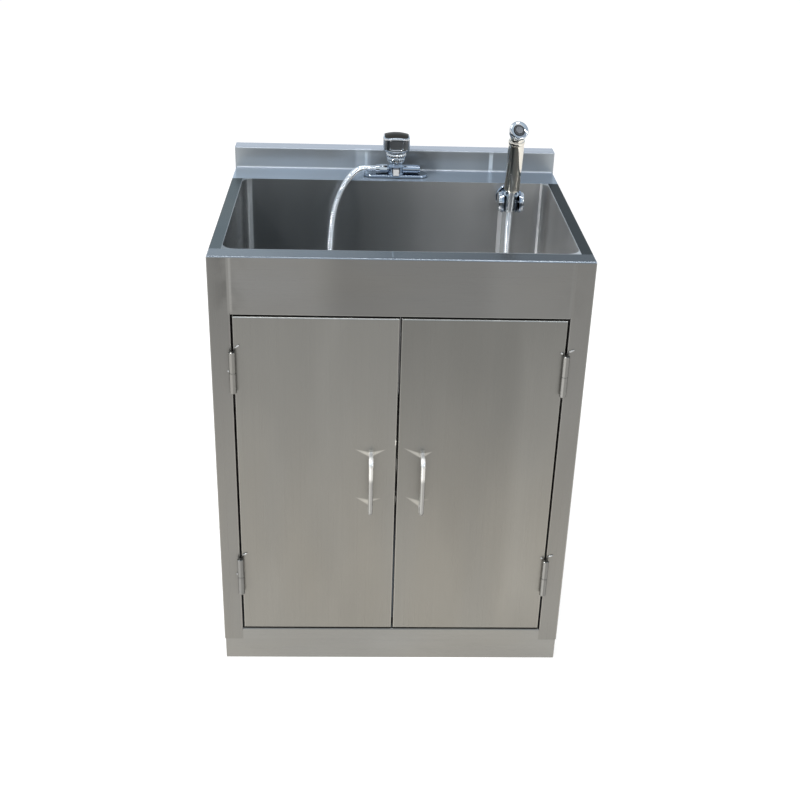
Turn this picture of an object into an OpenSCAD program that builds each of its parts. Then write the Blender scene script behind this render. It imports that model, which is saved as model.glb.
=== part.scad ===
// Veterinary wash sink: a stainless cabinet with two doors, a deep welded basin,
// a single knob mixer tap and a hand shower on a tilting wall bracket.
// Millimetres. +Z is up, the doors face -Y, and the origin is on the floor
// under the middle of the whole object, door handles included.

/* [Cabinet] */
// Width of the cabinet
body_w = 700; // [620:10:900]
// Depth of the cabinet, from its front face to its back face
body_d = 600; // [560:10:700]
// Height of the top rim above the floor
rim_h = 900; // [860:10:950]
// Height of the plinth
plinth_h = 50; // [40:5:80]
// Step of the plinth behind the cabinet's faces
plinth_inset = 2; // [1:1:10]
// Width of the flanges on the plinth's channels
plinth_flange = 28; // [28:1:45]
// Thickness of the steel sheet
sheet_t = 1.2; // [0.8:0.1:1.5]
// Outer radius of the folded edges
bend_r = 3; // [2.5:0.5:5]

/* [Front frame] */
// Width of each front post
stile_w = 39; // [32:1:60]
// Depth of the front posts
stile_d = 25; // [23:1:30]
// Height of the apron above the doors
apron_h = 113; // [90:1:140]
// Height of the rail below the doors
bottom_rail_h = 27; // [20:1:40]
// Depth of the flange under the apron
apron_flange = 22; // [16:1:28]

/* [Top and basin] */
// Width of the rim in front of the basin
front_rim_w = 40; // [36:1:60]
// Width of the rim at each side of the basin
side_rim_w = 24; // [16:1:50]
// Depth of the tap ledge behind the basin
ledge_d = 85; // [75:1:110]
// Height of the splashback above the rim
splash_h = 45; // [30:1:120]
// Depth of the splashback's flat top
splash_t = 40; // [30:1:60]
// Radius of the weld fillet along the foot of the splashback
splash_fillet = 4; // [2:0.5:8]
// Depth of the basin
basin_depth = 300; // [280:5:320]
// Radius of the basin's upright corners
basin_corner_r = 25; // [21:1:60]
// Radius between the basin's walls and floor
basin_foot_r = 18; // [8:1:20]

/* [Doors] */
// Gap round each door and between the two
door_gap = 3; // [2.5:0.5:5]
// Thickness of a door
door_t = 20; // [16:1:22]
// Distance from a door's face to the front of its handle
handle_reach = 40; // [35:1:60]
// Diameter of a handle's rod
handle_rod = 9; // [7:0.5:12]
// Distance between the two feet of a handle
handle_span = 118; // [90:1:200]
// Height of the handles' middle above the floor
handle_mid_h = 440; // [380:5:500]
// Distance from the middle of the cabinet to a handle
handle_offset = 50; // [40:1:90]
// Bend radius of a handle, along the middle of its rod
handle_bend = 13; // [9:1:16]
// Diameter of the handle screws
screw_dia = 4; // [3:0.5:5]

/* [Hinges] */
// Outer diameter of the hinge barrels
barrel_dia = 13; // [11:0.5:16]
// Length of one hinge knuckle
knuckle_len = 42; // [30:1:60]
// Diameter of the hinge pins
hinge_pin_dia = 7; // [5:0.5:7.5]
// Thickness of the hinge leaves
leaf_t = 1.2; // [1:0.1:1.5]
// Height of the lower hinges' middle above the floor
lower_hinge_h = 214; // [180:1:260]
// Height of the upper hinges' middle above the floor
upper_hinge_h = 674; // [600:1:680]

/* [Tap] */
// Distance from the front of the ledge to the middle of the tap
tap_setback = 40; // [36:1:48]
// Length of the tap's oval base plate
plate_len = 138; // [130:1:170]
// Width of the tap's oval base plate
plate_w = 40; // [36:1:50]
// Height of the base plate
plate_h = 5; // [4:0.5:5]
// Thickness of the gasket under the base plate
gasket_t = 1.5; // [1:0.5:2]
// Distance between the two inlet tails
inlet_span = 100; // [90:1:104]
// Outer diameter of the inlet tails
tail_dia = 20.96; // [18:0.02:22]
// Length of the inlet tails below the ledge
tail_len = 58; // [45:1:80]
// Height of the tap's arms above the ledge
arm_h = 16; // [16:0.5:20]
// Diameter of the tap's arms
arm_dia = 18; // [16:0.5:18]
// Length of the tap's blind arm
arm_len = 52; // [40:1:58]
// Diameter of the upright barrel of the tap
tap_barrel_dia = 36; // [34:1:40]
// Height of the bonnet
bonnet_h = 26; // [24:1:34]
// Diameter of the bonnet's top ring
bonnet_dia = 44; // [40:1:46]
// Width of the knob across its sides
knob_w = 57; // [50:1:64]
// Height of the knob
knob_h = 40; // [30:1:42]
// How far the knob lifts to open the water
knob_lift = 8; // [4:1:10]
// Diameter of the spindle that the knob slides on
spindle_dia = 9; // [7:0.5:10]

/* [Hand shower] */
// Distance from the basin's right wall to the middle of the wall bracket
bracket_side = 83; // [71:1:126]
// Distance from the basin's back wall to the bracket's pivot
pivot_reach = 43; // [41:1:50]
// Depth of the pivot below the rim
pivot_drop = 27; // [25:1:32]
// Forward lean of the hand shower at rest, in degrees
shower_lean = 12; // [11:0.5:13]
// Diameter of the hand shower's handle
handset_dia = 33; // [28:1:33]
// Distance along the handset from the pivot to the foot of its handle
handset_foot = 28; // [27:0.5:32]
// Distance along the handset from the pivot to the middle of its head
head_reach = 160; // [145:1:180]
// Diameter of the hand shower's round head
head_dia = 40; // [35:1:44]
// Upward tilt of the spray face from square to the handle, in degrees
face_tilt = 50; // [20:1:55]
// Turn of the spray face to the right about the handle, in degrees
face_turn = 18; // [0:1:30]
// Outer diameter of the cradle that holds the handset
cradle_dia = 32; // [31:1:36]
// Length of the cradle
cradle_len = 38; // [34:1:38]
// Width of the slot in the cradle's front
cradle_slot = 15.5; // [15.5:0.5:17]
// Diameter of the bracket's round ears
ear_dia = 46; // [40:1:46]
// Thickness of the bracket's ears
ear_t = 4; // [3:0.5:5]
// Diameter of the bracket's wall plate
wall_plate_dia = 56; // [52:1:56]

/* [Shower hose] */
// Outer diameter of the ribbed hose
hose_dia = 14; // [12:0.5:14]
// Diameter of the hose's bore
hose_bore = 8; // [6:0.5:8]
// Depth of the grooves between the ribs
rib_depth = 0.8; // [0.4:0.1:1]
// Number of ribs along the hose
rib_count = 200; // [100:10:200]

/* [Waste] */
// Diameter of the waste's flange on the basin floor
waste_flange_dia = 90; // [80:1:110]
// Outer diameter of the waste's threaded shank
waste_shank_dia = 60; // [56:1:62]
// Length of the shank below the basin floor
waste_shank_len = 40; // [36:1:50]
// Outer diameter of the waste pipe
pipe_dia = 40; // [36:1:40]
// Wall of the waste pipe and trap
pipe_wall = 2; // [1.8:0.1:3]
// Outer diameter of the trap
trap_dia = 68; // [66:1:80]
// Distance from the basin's floor down to the middle of the trap's outlet
outlet_drop = 160; // [140:5:180]
// Distance from the end of the waste pipe to the cabinet's back face
pipe_setback = 30; // [20:5:60]

/* [Service openings] */
// Width of the opening in the back panel
service_w = 300; // [200:10:400]
// Height of the opening in the back panel
service_h = 260; // [160:10:300]
// Width of the hole in the cabinet floor for the supply pipes
floor_hole_w = 160; // [140:5:200]
// Depth of the hole in the cabinet floor, from front to back
floor_hole_d = 64; // [50:2:80]

/* [Hidden] */
$fn = 64;

// Colours of the finishes
steel = [0.60, 0.60, 0.59];
bright_steel = [0.72, 0.73, 0.75];
chrome = [0.80, 0.82, 0.85];
brass = [0.78, 0.62, 0.32];
rubber = [0.10, 0.10, 0.10];
dark_plastic = [0.22, 0.23, 0.25];
white_plastic = [0.88, 0.88, 0.86];

// Clearances between the pieces: pressed, running and lying loose
press = 0.01;
run = 0.05;
seat = 0.3;
eps = 0.01;

// Places of the cabinet's faces
half_w = body_w / 2;
front_y = -(body_d - handle_reach) / 2;
back_y = front_y + body_d;
splash_y = back_y - splash_t;
panel_top = rim_h - bend_r;
floor_top = plinth_h + bottom_rail_h;
open_x = half_w - stile_w;
open_top = rim_h - apron_h;

// Places of the basin's inner faces, and of the rims' edges round it
basin_half = half_w - side_rim_w;
basin_y0 = front_y + front_rim_w;
basin_y1 = splash_y - ledge_d;
basin_mid_y = (basin_y0 + basin_y1) / 2;
basin_floor = rim_h - basin_depth;
rim_x = basin_half + sheet_t;
rim_y0 = basin_y0 - sheet_t;
rim_y1 = basin_y1 + sheet_t;

// Sizes of the doors and places of their hinges
door_w = open_x - 1.5 * door_gap;
door_mid_x = door_gap / 2 + door_w / 2;
door_z0 = floor_top + door_gap;
door_h = open_top - door_gap - door_z0;
door_back = front_y + door_t;
hinge_x = open_x - door_gap / 2;
hinge_y = front_y - barrel_dia / 2 - seat;
collar_t = 1;
collar_dia = barrel_dia - 3;
knuckle_cap = 4;
knuckle_chamfer = 1.2;
leaf_reach = 16;
leaf_inset = 2;
pin_len = 2 * (knuckle_len - knuckle_cap) + collar_t - 2;
lip_w = 15;
fillet_lap = 0.1;
apron_lip = 12;
screw_head_dia = 2 * screw_dia;
screw_head_t = 0.6 * screw_dia;
screw_reach = 9;

// Sizes of the magnetic catch and its strikes
catch_w = 46;
catch_d = 14;
catch_h = 15;
catch_foot_t = 2;
catch_foot_w = 62;
strike_t = 1.2;
strike_w = 18;
strike_h = 12;
strike_x = 5;

// Heights in the tap, above the ledge
plate_top = gasket_t + plate_h;
barrel_top = arm_h + arm_dia / 2 + 1.5;
bonnet_top = barrel_top + bonnet_h;
knob_z = bonnet_top + 1;
knob_top = knob_z + knob_h;
tap_y = basin_y1 + tap_setback;
boss_dia = 16;
boss_h = max(arm_h - 1.5, plate_top + boss_dia / 2);
boss_reach = tap_barrel_dia / 2 + 3;
tail_bore_dia = 14;
tail_in_plate = 3;
backnut_t = 8;
backnut_dia = tail_dia + 10;
cartridge_dia = 21;
spindle_collar_dia = spindle_dia + 5;
neck_dia = 26;
nipple_dia = 12;
nipple_len = 8;
stub_len = tap_barrel_dia / 2 + 1;
nut_dia = 18;
nut_len = 16;
ferrule_end = 43;
ferrule_dia = hose_dia + 2.4;
socket_dia = hose_dia + 0.8;
socket_depth = 4;

// Places and sizes in the hand shower's bracket
bracket_x = basin_half - bracket_side;
pivot = [bracket_x, basin_y1 - pivot_reach, rim_h - pivot_drop];
pin_dia = 6;
pin_depth = 3.6;
ear_in = cradle_dia / 2 + seat;
ear_out = ear_in + ear_t;
cap_t = 7;
cap_dia = ear_dia - 6;
web_y = cradle_dia / 2 + 8;
web_t = 5;
web_h = 22;
wall_plate_t = 6;
wall_plate_drop = 0.5;
wall_plate_z = -wall_plate_dia / 2 - wall_plate_drop;
wall_screw_x = wall_plate_dia / 2 - 7.5;
wall_screw_dia = 4;
arm_w = 20;

// Radii of the tapered hose cone, at its foot and at the handle
cone_foot = cradle_len / 2 + 1;
cone_r0 = 9.5;
cone_r1 = 12.6;
waterway = 8;
handset_wall = 2.5;
face_reach = 13;
face_rim = 9;
face_sunk = 3.5;
head_back = 12;
back_step = 2;
back_edge = head_back / 2;

// How far the tilted head reaches down along the handle from its middle
head_drop = max(
  head_dia / 2 * cos(face_tilt),
  back_edge * (1 + sin(face_tilt)) + (head_dia / 2 - back_step - back_edge) * cos(face_tilt)
);
handset_top = head_reach - head_drop - seat;

// Sizes of the waste, measured down from the basin floor
waste_lip_t = 2.5;
strainer_t = 1.5;
strainer_seat = 1;
strainer_r = waste_shank_dia / 2 + 1.5;
waste_bore_r = waste_shank_dia / 2 - 5;
seal_t = 2;
locknut_t = 10;
tail_flange_t = 4;
coupling_h = 23;
nut_wall = 6;
small_nut_h = 18;
trap_r = trap_dia / 2;
pipe_r = pipe_dia / 2;
trap_rise = 28;
trap_drop = 35;
trap_collar_h = 14;
cup_h = 58;
cup_lap = 11;
stub_y = trap_r + 18;
pipe_end_y = back_y - pipe_setback;
sleeve_len = 60;
trap_outlet_h = basin_floor - outlet_drop;
service_z = trap_outlet_h + 20;

// Route of the hose's middle, from the tap to the hand shower, as drawn for one size
drawn_bracket_x = 243;
drawn_wall_y = 195;
drawn_rim_h = 900;
drawn_depth = 300;
drawn_floor_z = 608;
drawn_hang_z = 850;
drawn_route = [
  [-40, 235, 916], [-54, 235, 916], [-67, 230, 917], [-79, 218, 917.5], [-90, 203, 914.5],
  [-101, 188, 907], [-112, 175, 894], [-122, 165, 875], [-130, 158, 852], [-135, 153, 827],
  [-138, 150, 800], [-140, 149, 772], [-141, 149, 740], [-142, 149, 708], [-143, 143, 674],
  [-145, 127, 642], [-149, 101, 619], [-155, 66, 609], [-161, 26, 608], [-164, -17, 608],
  [-161, -60, 608], [-149, -102, 608], [-127, -139, 608], [-95, -168, 608], [-55, -187, 608],
  [-10, -196, 608], [37, -196, 608], [82, -189, 608], [125, -172, 608], [163, -145, 608],
  [194, -110, 608], [217, -68, 608], [230, -22, 608], [237, 24, 608], [240, 66, 610],
  [242, 104, 623], [243, 131, 649], [243, 148, 682], [243, 158, 720], [243, 163, 760],
  [243, 165, 800], [243, 161, 830], [243, 158, 845], [243, 155.4, 857]
];

// Moves a point of the route with the bracket, the basin's back wall, its rim and its floor
function placed(p) =
  let (
    across = p[0] > 0 ? p[0] * bracket_x / drawn_bracket_x : p[0],
    depth_share = max(0, drawn_hang_z - p[2]) / (drawn_hang_z - drawn_floor_z)
  )
  [
    across,
    p[1] + basin_y1 - drawn_wall_y,
    p[2] + rim_h - drawn_rim_h - depth_share * (basin_depth - drawn_depth)
  ];
route = [for (p = drawn_route) placed(p)];
sides = 8;
ring_count = 2 * rib_count + 1;
bore_step = 5;

// Spline through the route, where u counts its points
function along(u) =
  let (
    last = len(route) - 1,
    i = min(floor(u), last - 1),
    t = u - i,
    b = route[i],
    c = route[i + 1],
    a = i > 0 ? route[i - 1] : 2 * b - c,
    d = i < last - 1 ? route[i + 2] : 2 * c - b
  )
  (2 * b + (c - a) * t + (2 * a - 5 * b + 4 * c - d) * t * t + (3 * b - a - 3 * c + d) * t * t * t) / 2;
function unit(v) = v / norm(v);

// Length along the hose against u, and the rings spaced evenly by it
span_steps = 12;
u_count = span_steps * (len(route) - 1);
trail = [for (i = [0:u_count]) along(i / span_steps)];
steps = [for (i = [0:u_count]) i == 0 ? 0 : norm(trail[i] - trail[i - 1])];
lengths = [
  for (i = 0, s = 0; i <= u_count; i = i + 1, s = s + (i <= u_count ? steps[i] : 0))
  [s, i / span_steps]
];
hose_length = lengths[u_count][0];
centres = [for (i = [0:ring_count - 1]) along(lookup(hose_length * i / (ring_count - 1), lengths))];
headings = [
  for (i = [0:ring_count - 1])
  unit(centres[min(i + 1, ring_count - 1)] - centres[max(i - 1, 0)])
];
normals = [
  for (i = 0, n = [0, 0, 1]; i < ring_count; i = i + 1,
    n = i < ring_count ? unit(n - (n * headings[i]) * headings[i]) : n) n
];
function ring(i, r) = [
  for (k = [0:sides - 1])
  centres[i] + r * (cos(360 * k / sides) * normals[i] + sin(360 * k / sides) * cross(headings[i], normals[i]))
];
bends = [
  for (i = [4:4:ring_count - 5])
  let (turn = acos(min(1, headings[i - 4] * headings[i + 4])))
  8 * hose_length / (ring_count - 1) / max(turn * PI / 180, 0.001)
];
echo(hose_length = hose_length, tightest_bend = min(bends));

// Rectangle with its two corners at y = 0 rounded, centred on x = 0
module front_rounded(w, d, r) {
  translate([r - w / 2, 0]) square([w - 2 * r, d]);
  translate([-w / 2, r]) square([w, d - r]);
  for (s = [-1, 1]) translate([s * (w / 2 - r), r]) circle(r);
}

// Rectangle from the origin with its corner there rounded
module corner_rounded(w, h, r) {
  translate([r, 0]) square([w - r, h]);
  translate([0, r]) square([w, h - r]);
  translate([r, r]) circle(r);
}

// Rectangle with four round corners, centred
module plan_rounded(w, d, r) {
  square([w - 2 * r, d], center = true);
  square([w, d - 2 * r], center = true);
  for (x = [-1, 1], y = [-1, 1]) translate([x * (w / 2 - r), y * (d / 2 - r)]) circle(r);
}

// Turns a drawing of depth and height into a solid along X, centred
module run_along_x(length) {
  translate([-length / 2, 0, 0]) rotate([90, 0, 90]) linear_extrude(length) children();
}

// Disc on the XY plane with its top edge rounded
module round_disc(r, t, edge) {
  rotate_extrude() disc_section(r, t, edge);
}

module disc_section(r, t, edge) {
  square([r, t - edge]);
  square([r - edge, t]);
  translate([r - edge, t - edge]) circle(edge);
}

// Round rod along Y from the origin towards the back
module rod_y(r, length) {
  rotate([-90, 0, 0]) cylinder(r = r, h = length);
}

// Round rod along X from the origin to the right
module rod_x(r, length) {
  rotate([0, 90, 0]) cylinder(r = r, h = length);
}

// Channel of bent sheet, open at its back
module channel(depth, height) {
  difference() {
    square([depth, height]);
    translate([sheet_t, sheet_t]) square([depth, height - 2 * sheet_t]);
  }
}

// Plinth
module plinth_rails() {
  color(steel)
  for (back = [0, 1])
  translate([0, back * (front_y + back_y), 0])
  mirror([0, back, 0])
  translate([0, front_y + plinth_inset, 0])
  run_along_x(body_w - 2 * plinth_inset)
  channel(plinth_flange, plinth_h);
}

module plinth_sides() {
  length = body_d - 2 * (plinth_inset + plinth_flange);
  color(steel)
  for (s = [0, 1])
  mirror([s, 0, 0])
  translate([plinth_inset - half_w, (front_y + back_y + length) / 2, 0])
  rotate([90, 0, 0])
  linear_extrude(length)
  channel(plinth_flange, plinth_h);
}

// Cabinet floor, folded down and in on all four sides
module base_tray() {
  y0 = front_y + stile_d;
  w = body_w - 2 * sheet_t;
  d = back_y - sheet_t - y0;
  color(steel)
  difference() {
    translate([-w / 2, y0, plinth_h]) cube([w, d, bottom_rail_h]);
    translate([sheet_t - w / 2, y0 + sheet_t, plinth_h + sheet_t])
    cube([w - 2 * sheet_t, d - 2 * sheet_t, bottom_rail_h - 2 * sheet_t]);
    translate([lip_w - w / 2, y0 + lip_w, plinth_h - 1]) cube([w - 2 * lip_w, d - 2 * lip_w, 5]);
    translate([-floor_hole_w / 2, tap_y - floor_hole_d / 2, plinth_h])
    cube([floor_hole_w, floor_hole_d, 2 * bottom_rail_h]);
  }
}

module bottom_rail() {
  color(steel)
  translate([0, front_y, floor_top])
  mirror([0, 0, 1])
  run_along_x(2 * open_x)
  difference() {
    corner_rounded(stile_d, bottom_rail_h, bend_r);
    translate([sheet_t, sheet_t]) corner_rounded(stile_d, bottom_rail_h - 2 * sheet_t, bend_r - sheet_t);
  }
}

// Front posts and the apron between them
module stile(side) {
  color(steel)
  translate([side * (half_w - stile_w / 2), front_y, plinth_h])
  linear_extrude(panel_top - plinth_h)
  difference() {
    front_rounded(stile_w, stile_d, bend_r);
    translate([0, sheet_t]) front_rounded(stile_w - 2 * sheet_t, stile_d, bend_r - sheet_t);
  }
}

module left_stile() {
  stile(-1);
}

module right_stile() {
  stile(1);
}

module front_apron() {
  h = panel_top - open_top;
  color(steel)
  translate([0, front_y, open_top])
  run_along_x(2 * open_x)
  difference() {
    corner_rounded(apron_flange, h, bend_r);
    translate([sheet_t, sheet_t]) corner_rounded(apron_flange - 2 * sheet_t, h, bend_r - sheet_t);
    translate([sheet_t, apron_lip]) square([apron_flange, h]);
  }
}

// Side and back panels
module side_panel(side) {
  y0 = front_y + stile_d;
  color(steel)
  translate([side > 0 ? half_w - sheet_t : -half_w, y0, plinth_h])
  cube([sheet_t, back_y - y0, panel_top - plinth_h]);
}

module left_side_panel() {
  side_panel(-1);
}

module right_side_panel() {
  side_panel(1);
}

module back_panel() {
  w = body_w - 2 * sheet_t;
  color(steel)
  difference() {
    translate([-w / 2, back_y - sheet_t, plinth_h]) cube([w, sheet_t, panel_top - plinth_h]);
    translate([-service_w / 2, back_y - 5, service_z - service_h / 2]) cube([service_w, 10, service_h]);
  }
}

// Block of the cabinet's top with rounded front and side edges, drawn in by inset
module top_block(inset) {
  r = bend_r - inset;
  w = body_w - 2 * inset;
  h = 3 * bend_r;
  top = rim_h - inset;
  intersection() {
    translate([0, front_y + inset, top]) mirror([0, 0, 1]) run_along_x(w) corner_rounded(body_d, h, r);
    translate([0, back_y, top])
    rotate([90, 0, 0])
    linear_extrude(body_d)
    mirror([0, 1])
    front_rounded(w, h, r);
    translate([0, front_y + inset, top - h]) linear_extrude(h) front_rounded(w, body_d, r);
  }
}

module rim_piece(x0, x1, y0, y1) {
  intersection() {
    difference() {
      top_block(0);
      top_block(sheet_t);
    }
    translate([x0, y0, panel_top]) cube([x1 - x0, y1 - y0, bend_r]);
  }
}

module front_rim() {
  color(steel) rim_piece(-half_w, half_w, front_y, rim_y0);
}

module left_rim() {
  color(steel) rim_piece(-half_w, -rim_x, rim_y0, rim_y1);
}

module right_rim() {
  color(steel) rim_piece(rim_x, half_w, rim_y0, rim_y1);
}

module rear_ledge() {
  color(steel)
  difference() {
    rim_piece(-half_w, half_w, rim_y1, splash_y);
    for (s = [-1, 1])
    translate([s * inlet_span / 2, tap_y, rim_h - 2 * bend_r])
    cylinder(d = tail_dia + 1, h = 3 * bend_r);
  }
}

// Splashback, a hollow box that is open underneath
module backsplash() {
  h = rim_h + splash_h - panel_top;
  top = rim_h + splash_h;
  color(steel) {
    difference() {
      translate([0, (splash_y + back_y) / 2, top])
      mirror([0, 0, 1])
      run_along_x(body_w)
      front_rounded(splash_t, h, bend_r);
      translate([0, (splash_y + back_y) / 2, top - sheet_t])
      mirror([0, 0, 1])
      run_along_x(body_w - 2 * sheet_t)
      front_rounded(splash_t - 2 * sheet_t, h, bend_r - sheet_t);
    }
    translate([0, splash_y - splash_fillet, rim_h])
    run_along_x(body_w - 2 * bend_r)
    difference() {
      square([splash_fillet, splash_fillet]);
      translate([-fillet_lap, splash_fillet + fillet_lap]) circle(splash_fillet);
    }
  }
}

// Section of the basin from the middle of a corner outwards, floor at height 0
module basin_section() {
  f = basin_foot_r;
  x = basin_corner_r - f;
  translate([basin_corner_r, f]) square([sheet_t, basin_depth - f]);
  difference() {
    intersection() {
      translate([x, f]) circle(f + sheet_t);
      translate([x, -sheet_t]) square([f + sheet_t, f + sheet_t]);
    }
    translate([x, f]) circle(f);
  }
  translate([0, -sheet_t]) square([x, sheet_t]);
}

module basin() {
  long_x = 2 * (basin_half - basin_corner_r);
  long_y = basin_y1 - basin_y0 - 2 * basin_corner_r;
  color(bright_steel)
  difference() {
    translate([0, basin_mid_y, basin_floor]) {
      for (q = [0:3])
      rotate([0, 0, 90 * q])
      translate(q % 2 == 0 ? [long_x / 2, long_y / 2, 0] : [long_y / 2, long_x / 2, 0])
      rotate_extrude(angle = 90)
      basin_section();
      for (q = [0:3])
      rotate([0, 0, 90 * q])
      translate([q % 2 == 0 ? long_x / 2 : long_y / 2, 0, 0])
      rotate([90, 0, 0])
      translate([0, 0, -(q % 2 == 0 ? long_y : long_x) / 2])
      linear_extrude(q % 2 == 0 ? long_y : long_x)
      basin_section();
      translate([-long_x / 2, -long_y / 2, -sheet_t]) cube([long_x, long_y, sheet_t]);
      difference() {
        translate([-rim_x, rim_y0 - basin_mid_y, basin_depth - sheet_t])
        cube([2 * rim_x, rim_y1 - rim_y0, sheet_t]);
        translate([0, 0, basin_depth - 2 * sheet_t])
        linear_extrude(3 * sheet_t)
        plan_rounded(2 * basin_half, basin_y1 - basin_y0, basin_corner_r);
      }
    }
    translate([0, basin_mid_y, basin_floor - 5]) cylinder(d = waste_shank_dia + 1, h = 10);
    for (s = [-1, 1])
    translate([bracket_x + s * wall_screw_x, basin_y1 - 5, rim_h + wall_plate_z])
    rod_y(wall_screw_dia / 2 + 0.2, 10);
  }
}

// Half a barrel hinge: the knuckle, closed at its foot, and the leaf welded to it
module knuckle(bore_r) {
  r = barrel_dia / 2;
  rotate_extrude()
  polygon([
    [0, 0], [r - knuckle_chamfer, 0], [r, knuckle_chamfer], [r, knuckle_len],
    [bore_r, knuckle_len], [bore_r, knuckle_cap], [0, knuckle_cap]
  ]);
}

module leaf(x0) {
  y0 = hinge_pin_dia / 2 + 1;
  translate([x0, y0, leaf_inset])
  cube([leaf_t, front_y - hinge_y + leaf_reach - y0, knuckle_len - 2 * leaf_inset]);
}

module frame_knuckles() {
  color(steel)
  for (s = [0, 1], z = [lower_hinge_h, upper_hinge_h])
  mirror([s, 0, 0])
  translate([hinge_x, hinge_y, z - collar_t / 2 - knuckle_len]) {
    knuckle(hinge_pin_dia / 2 + press);
    leaf(door_gap / 2 - leaf_t);
  }
}

module hinge_pins() {
  color(bright_steel)
  for (s = [-1, 1], z = [lower_hinge_h, upper_hinge_h])
  translate([s * hinge_x, hinge_y, z]) {
    cylinder(d = hinge_pin_dia, h = pin_len, center = true);
    cylinder(d = collar_dia, h = collar_t, center = true);
  }
}

module door_knuckles(side) {
  color(steel)
  for (z = [lower_hinge_h, upper_hinge_h])
  translate([side * hinge_x, hinge_y, z + collar_t / 2 + run]) {
    translate([0, 0, knuckle_len]) mirror([0, 0, 1]) knuckle(hinge_pin_dia / 2 + run);
    leaf(side > 0 ? -door_gap / 2 : door_gap / 2 - leaf_t);
  }
}

module left_door_knuckles() {
  door_knuckles(-1);
}

module right_door_knuckles() {
  door_knuckles(1);
}

// Door panels: a folded pan closed by a liner
module door_block(inset, depth) {
  r = bend_r - inset;
  w = door_w - 2 * inset;
  h = door_h - 2 * inset;
  intersection() {
    translate([0, 0, -h / 2]) linear_extrude(h) front_rounded(w, depth, r);
    rotate([0, 90, 0]) translate([0, 0, -w / 2]) linear_extrude(w) front_rounded(h, depth, r);
  }
}

module at_door(side) {
  translate([side * door_mid_x, front_y, door_z0 + door_h / 2]) children();
}

module door_skin(side) {
  color(steel)
  difference() {
    at_door(side)
    difference() {
      door_block(0, door_t);
      translate([0, sheet_t, 0]) door_block(sheet_t, door_t);
    }
    for (z = [-1, 1])
    translate([side * handle_offset, front_y - 1, handle_mid_h + z * handle_span / 2])
    rod_y(screw_dia / 2 + 0.2, 5);
  }
}

module door_liner(side) {
  w = door_w - 2 * sheet_t;
  h = door_h - 2 * sheet_t;
  color(bright_steel)
  at_door(side)
  translate([-w / 2, door_t - sheet_t, -h / 2])
  cube([w, sheet_t, h]);
}

module left_door_skin() {
  door_skin(-1);
}

module right_door_skin() {
  door_skin(1);
}

module left_door_liner() {
  door_liner(-1);
}

module right_door_liner() {
  door_liner(1);
}

// Handles: a rod bent into a U, with a tapped hole in each foot
module handle(side) {
  r = handle_rod / 2;
  leg = handle_reach - r - handle_bend;
  color(bright_steel)
  translate([side * handle_offset, front_y, handle_mid_h])
  difference() {
    union() {
      translate([0, r - handle_reach, handle_bend - handle_span / 2])
      cylinder(r = r, h = handle_span - 2 * handle_bend);
      for (m = [0, 1])
      mirror([0, 0, m]) {
        translate([0, -leg, handle_span / 2]) rod_y(r, leg);
        translate([0, -leg, handle_span / 2 - handle_bend])
        rotate([90, 0, -90])
        rotate_extrude(angle = 90)
        translate([handle_bend, 0])
        circle(r);
      }
    }
    for (z = [-1, 1])
    translate([0, -screw_reach - 1, z * handle_span / 2])
    rod_y(screw_dia / 2 + run, screw_reach + 2);
  }
}

module handle_screws(side) {
  color(bright_steel)
  for (z = [-1, 1])
  translate([side * handle_offset, front_y + sheet_t, handle_mid_h + z * handle_span / 2]) {
    rod_y(screw_head_dia / 2, screw_head_t);
    translate([0, -sheet_t - screw_reach, 0]) rod_y(screw_dia / 2, sheet_t + screw_reach + eps);
  }
}

module left_handle() {
  handle(-1);
}

module right_handle() {
  handle(1);
}

module left_handle_screws() {
  handle_screws(-1);
}

module right_handle_screws() {
  handle_screws(1);
}

// Magnetic catch on the cabinet floor, and the strikes on the doors' backs
module door_catch() {
  color(dark_plastic)
  translate([0, door_back + strike_t + seat, floor_top]) {
    translate([-catch_foot_w / 2, 0, 0]) cube([catch_foot_w, catch_d, catch_foot_t]);
    difference() {
      translate([-catch_w / 2, 0, 0]) cube([catch_w, catch_d, catch_h]);
      translate([-2, -1, catch_foot_t]) cube([4, catch_d + 2, catch_h]);
    }
  }
}

module strike(side) {
  x0 = side > 0 ? strike_x : -strike_x - strike_w;
  color(bright_steel)
  translate([x0, door_back, floor_top + door_gap + sheet_t])
  cube([strike_w, strike_t, strike_h]);
}

module left_strike() {
  strike(-1);
}

module right_strike() {
  strike(1);
}

// Tap
module at_tap() {
  translate([0, tap_y, rim_h]) children();
}

// Flat oval with its top edge rounded
module oval(length, width, t, edge) {
  straight = length - width;
  for (s = [-1, 1]) translate([s * straight / 2, 0, 0]) round_disc(width / 2, t, edge);
  for (s = [0, 1]) mirror([0, s, 0]) run_along_x(straight) disc_section(width / 2, t, edge);
}

module tap_gasket() {
  color(rubber)
  at_tap()
  difference() {
    oval(plate_len - 2, plate_w - 2, gasket_t, 0.3);
    for (s = [-1, 1]) translate([s * inlet_span / 2, 0, -1]) cylinder(d = tail_dia + 0.6, h = gasket_t + 2);
  }
}

module tap_base_plate() {
  color(chrome)
  at_tap()
  translate([0, 0, gasket_t])
  difference() {
    oval(plate_len, plate_w, plate_h, plate_h / 2);
    for (s = [-1, 1])
    translate([s * inlet_span / 2, 0, -1])
    cylinder(d = tail_dia + 2 * press, h = tail_in_plate + 1);
  }
}

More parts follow.
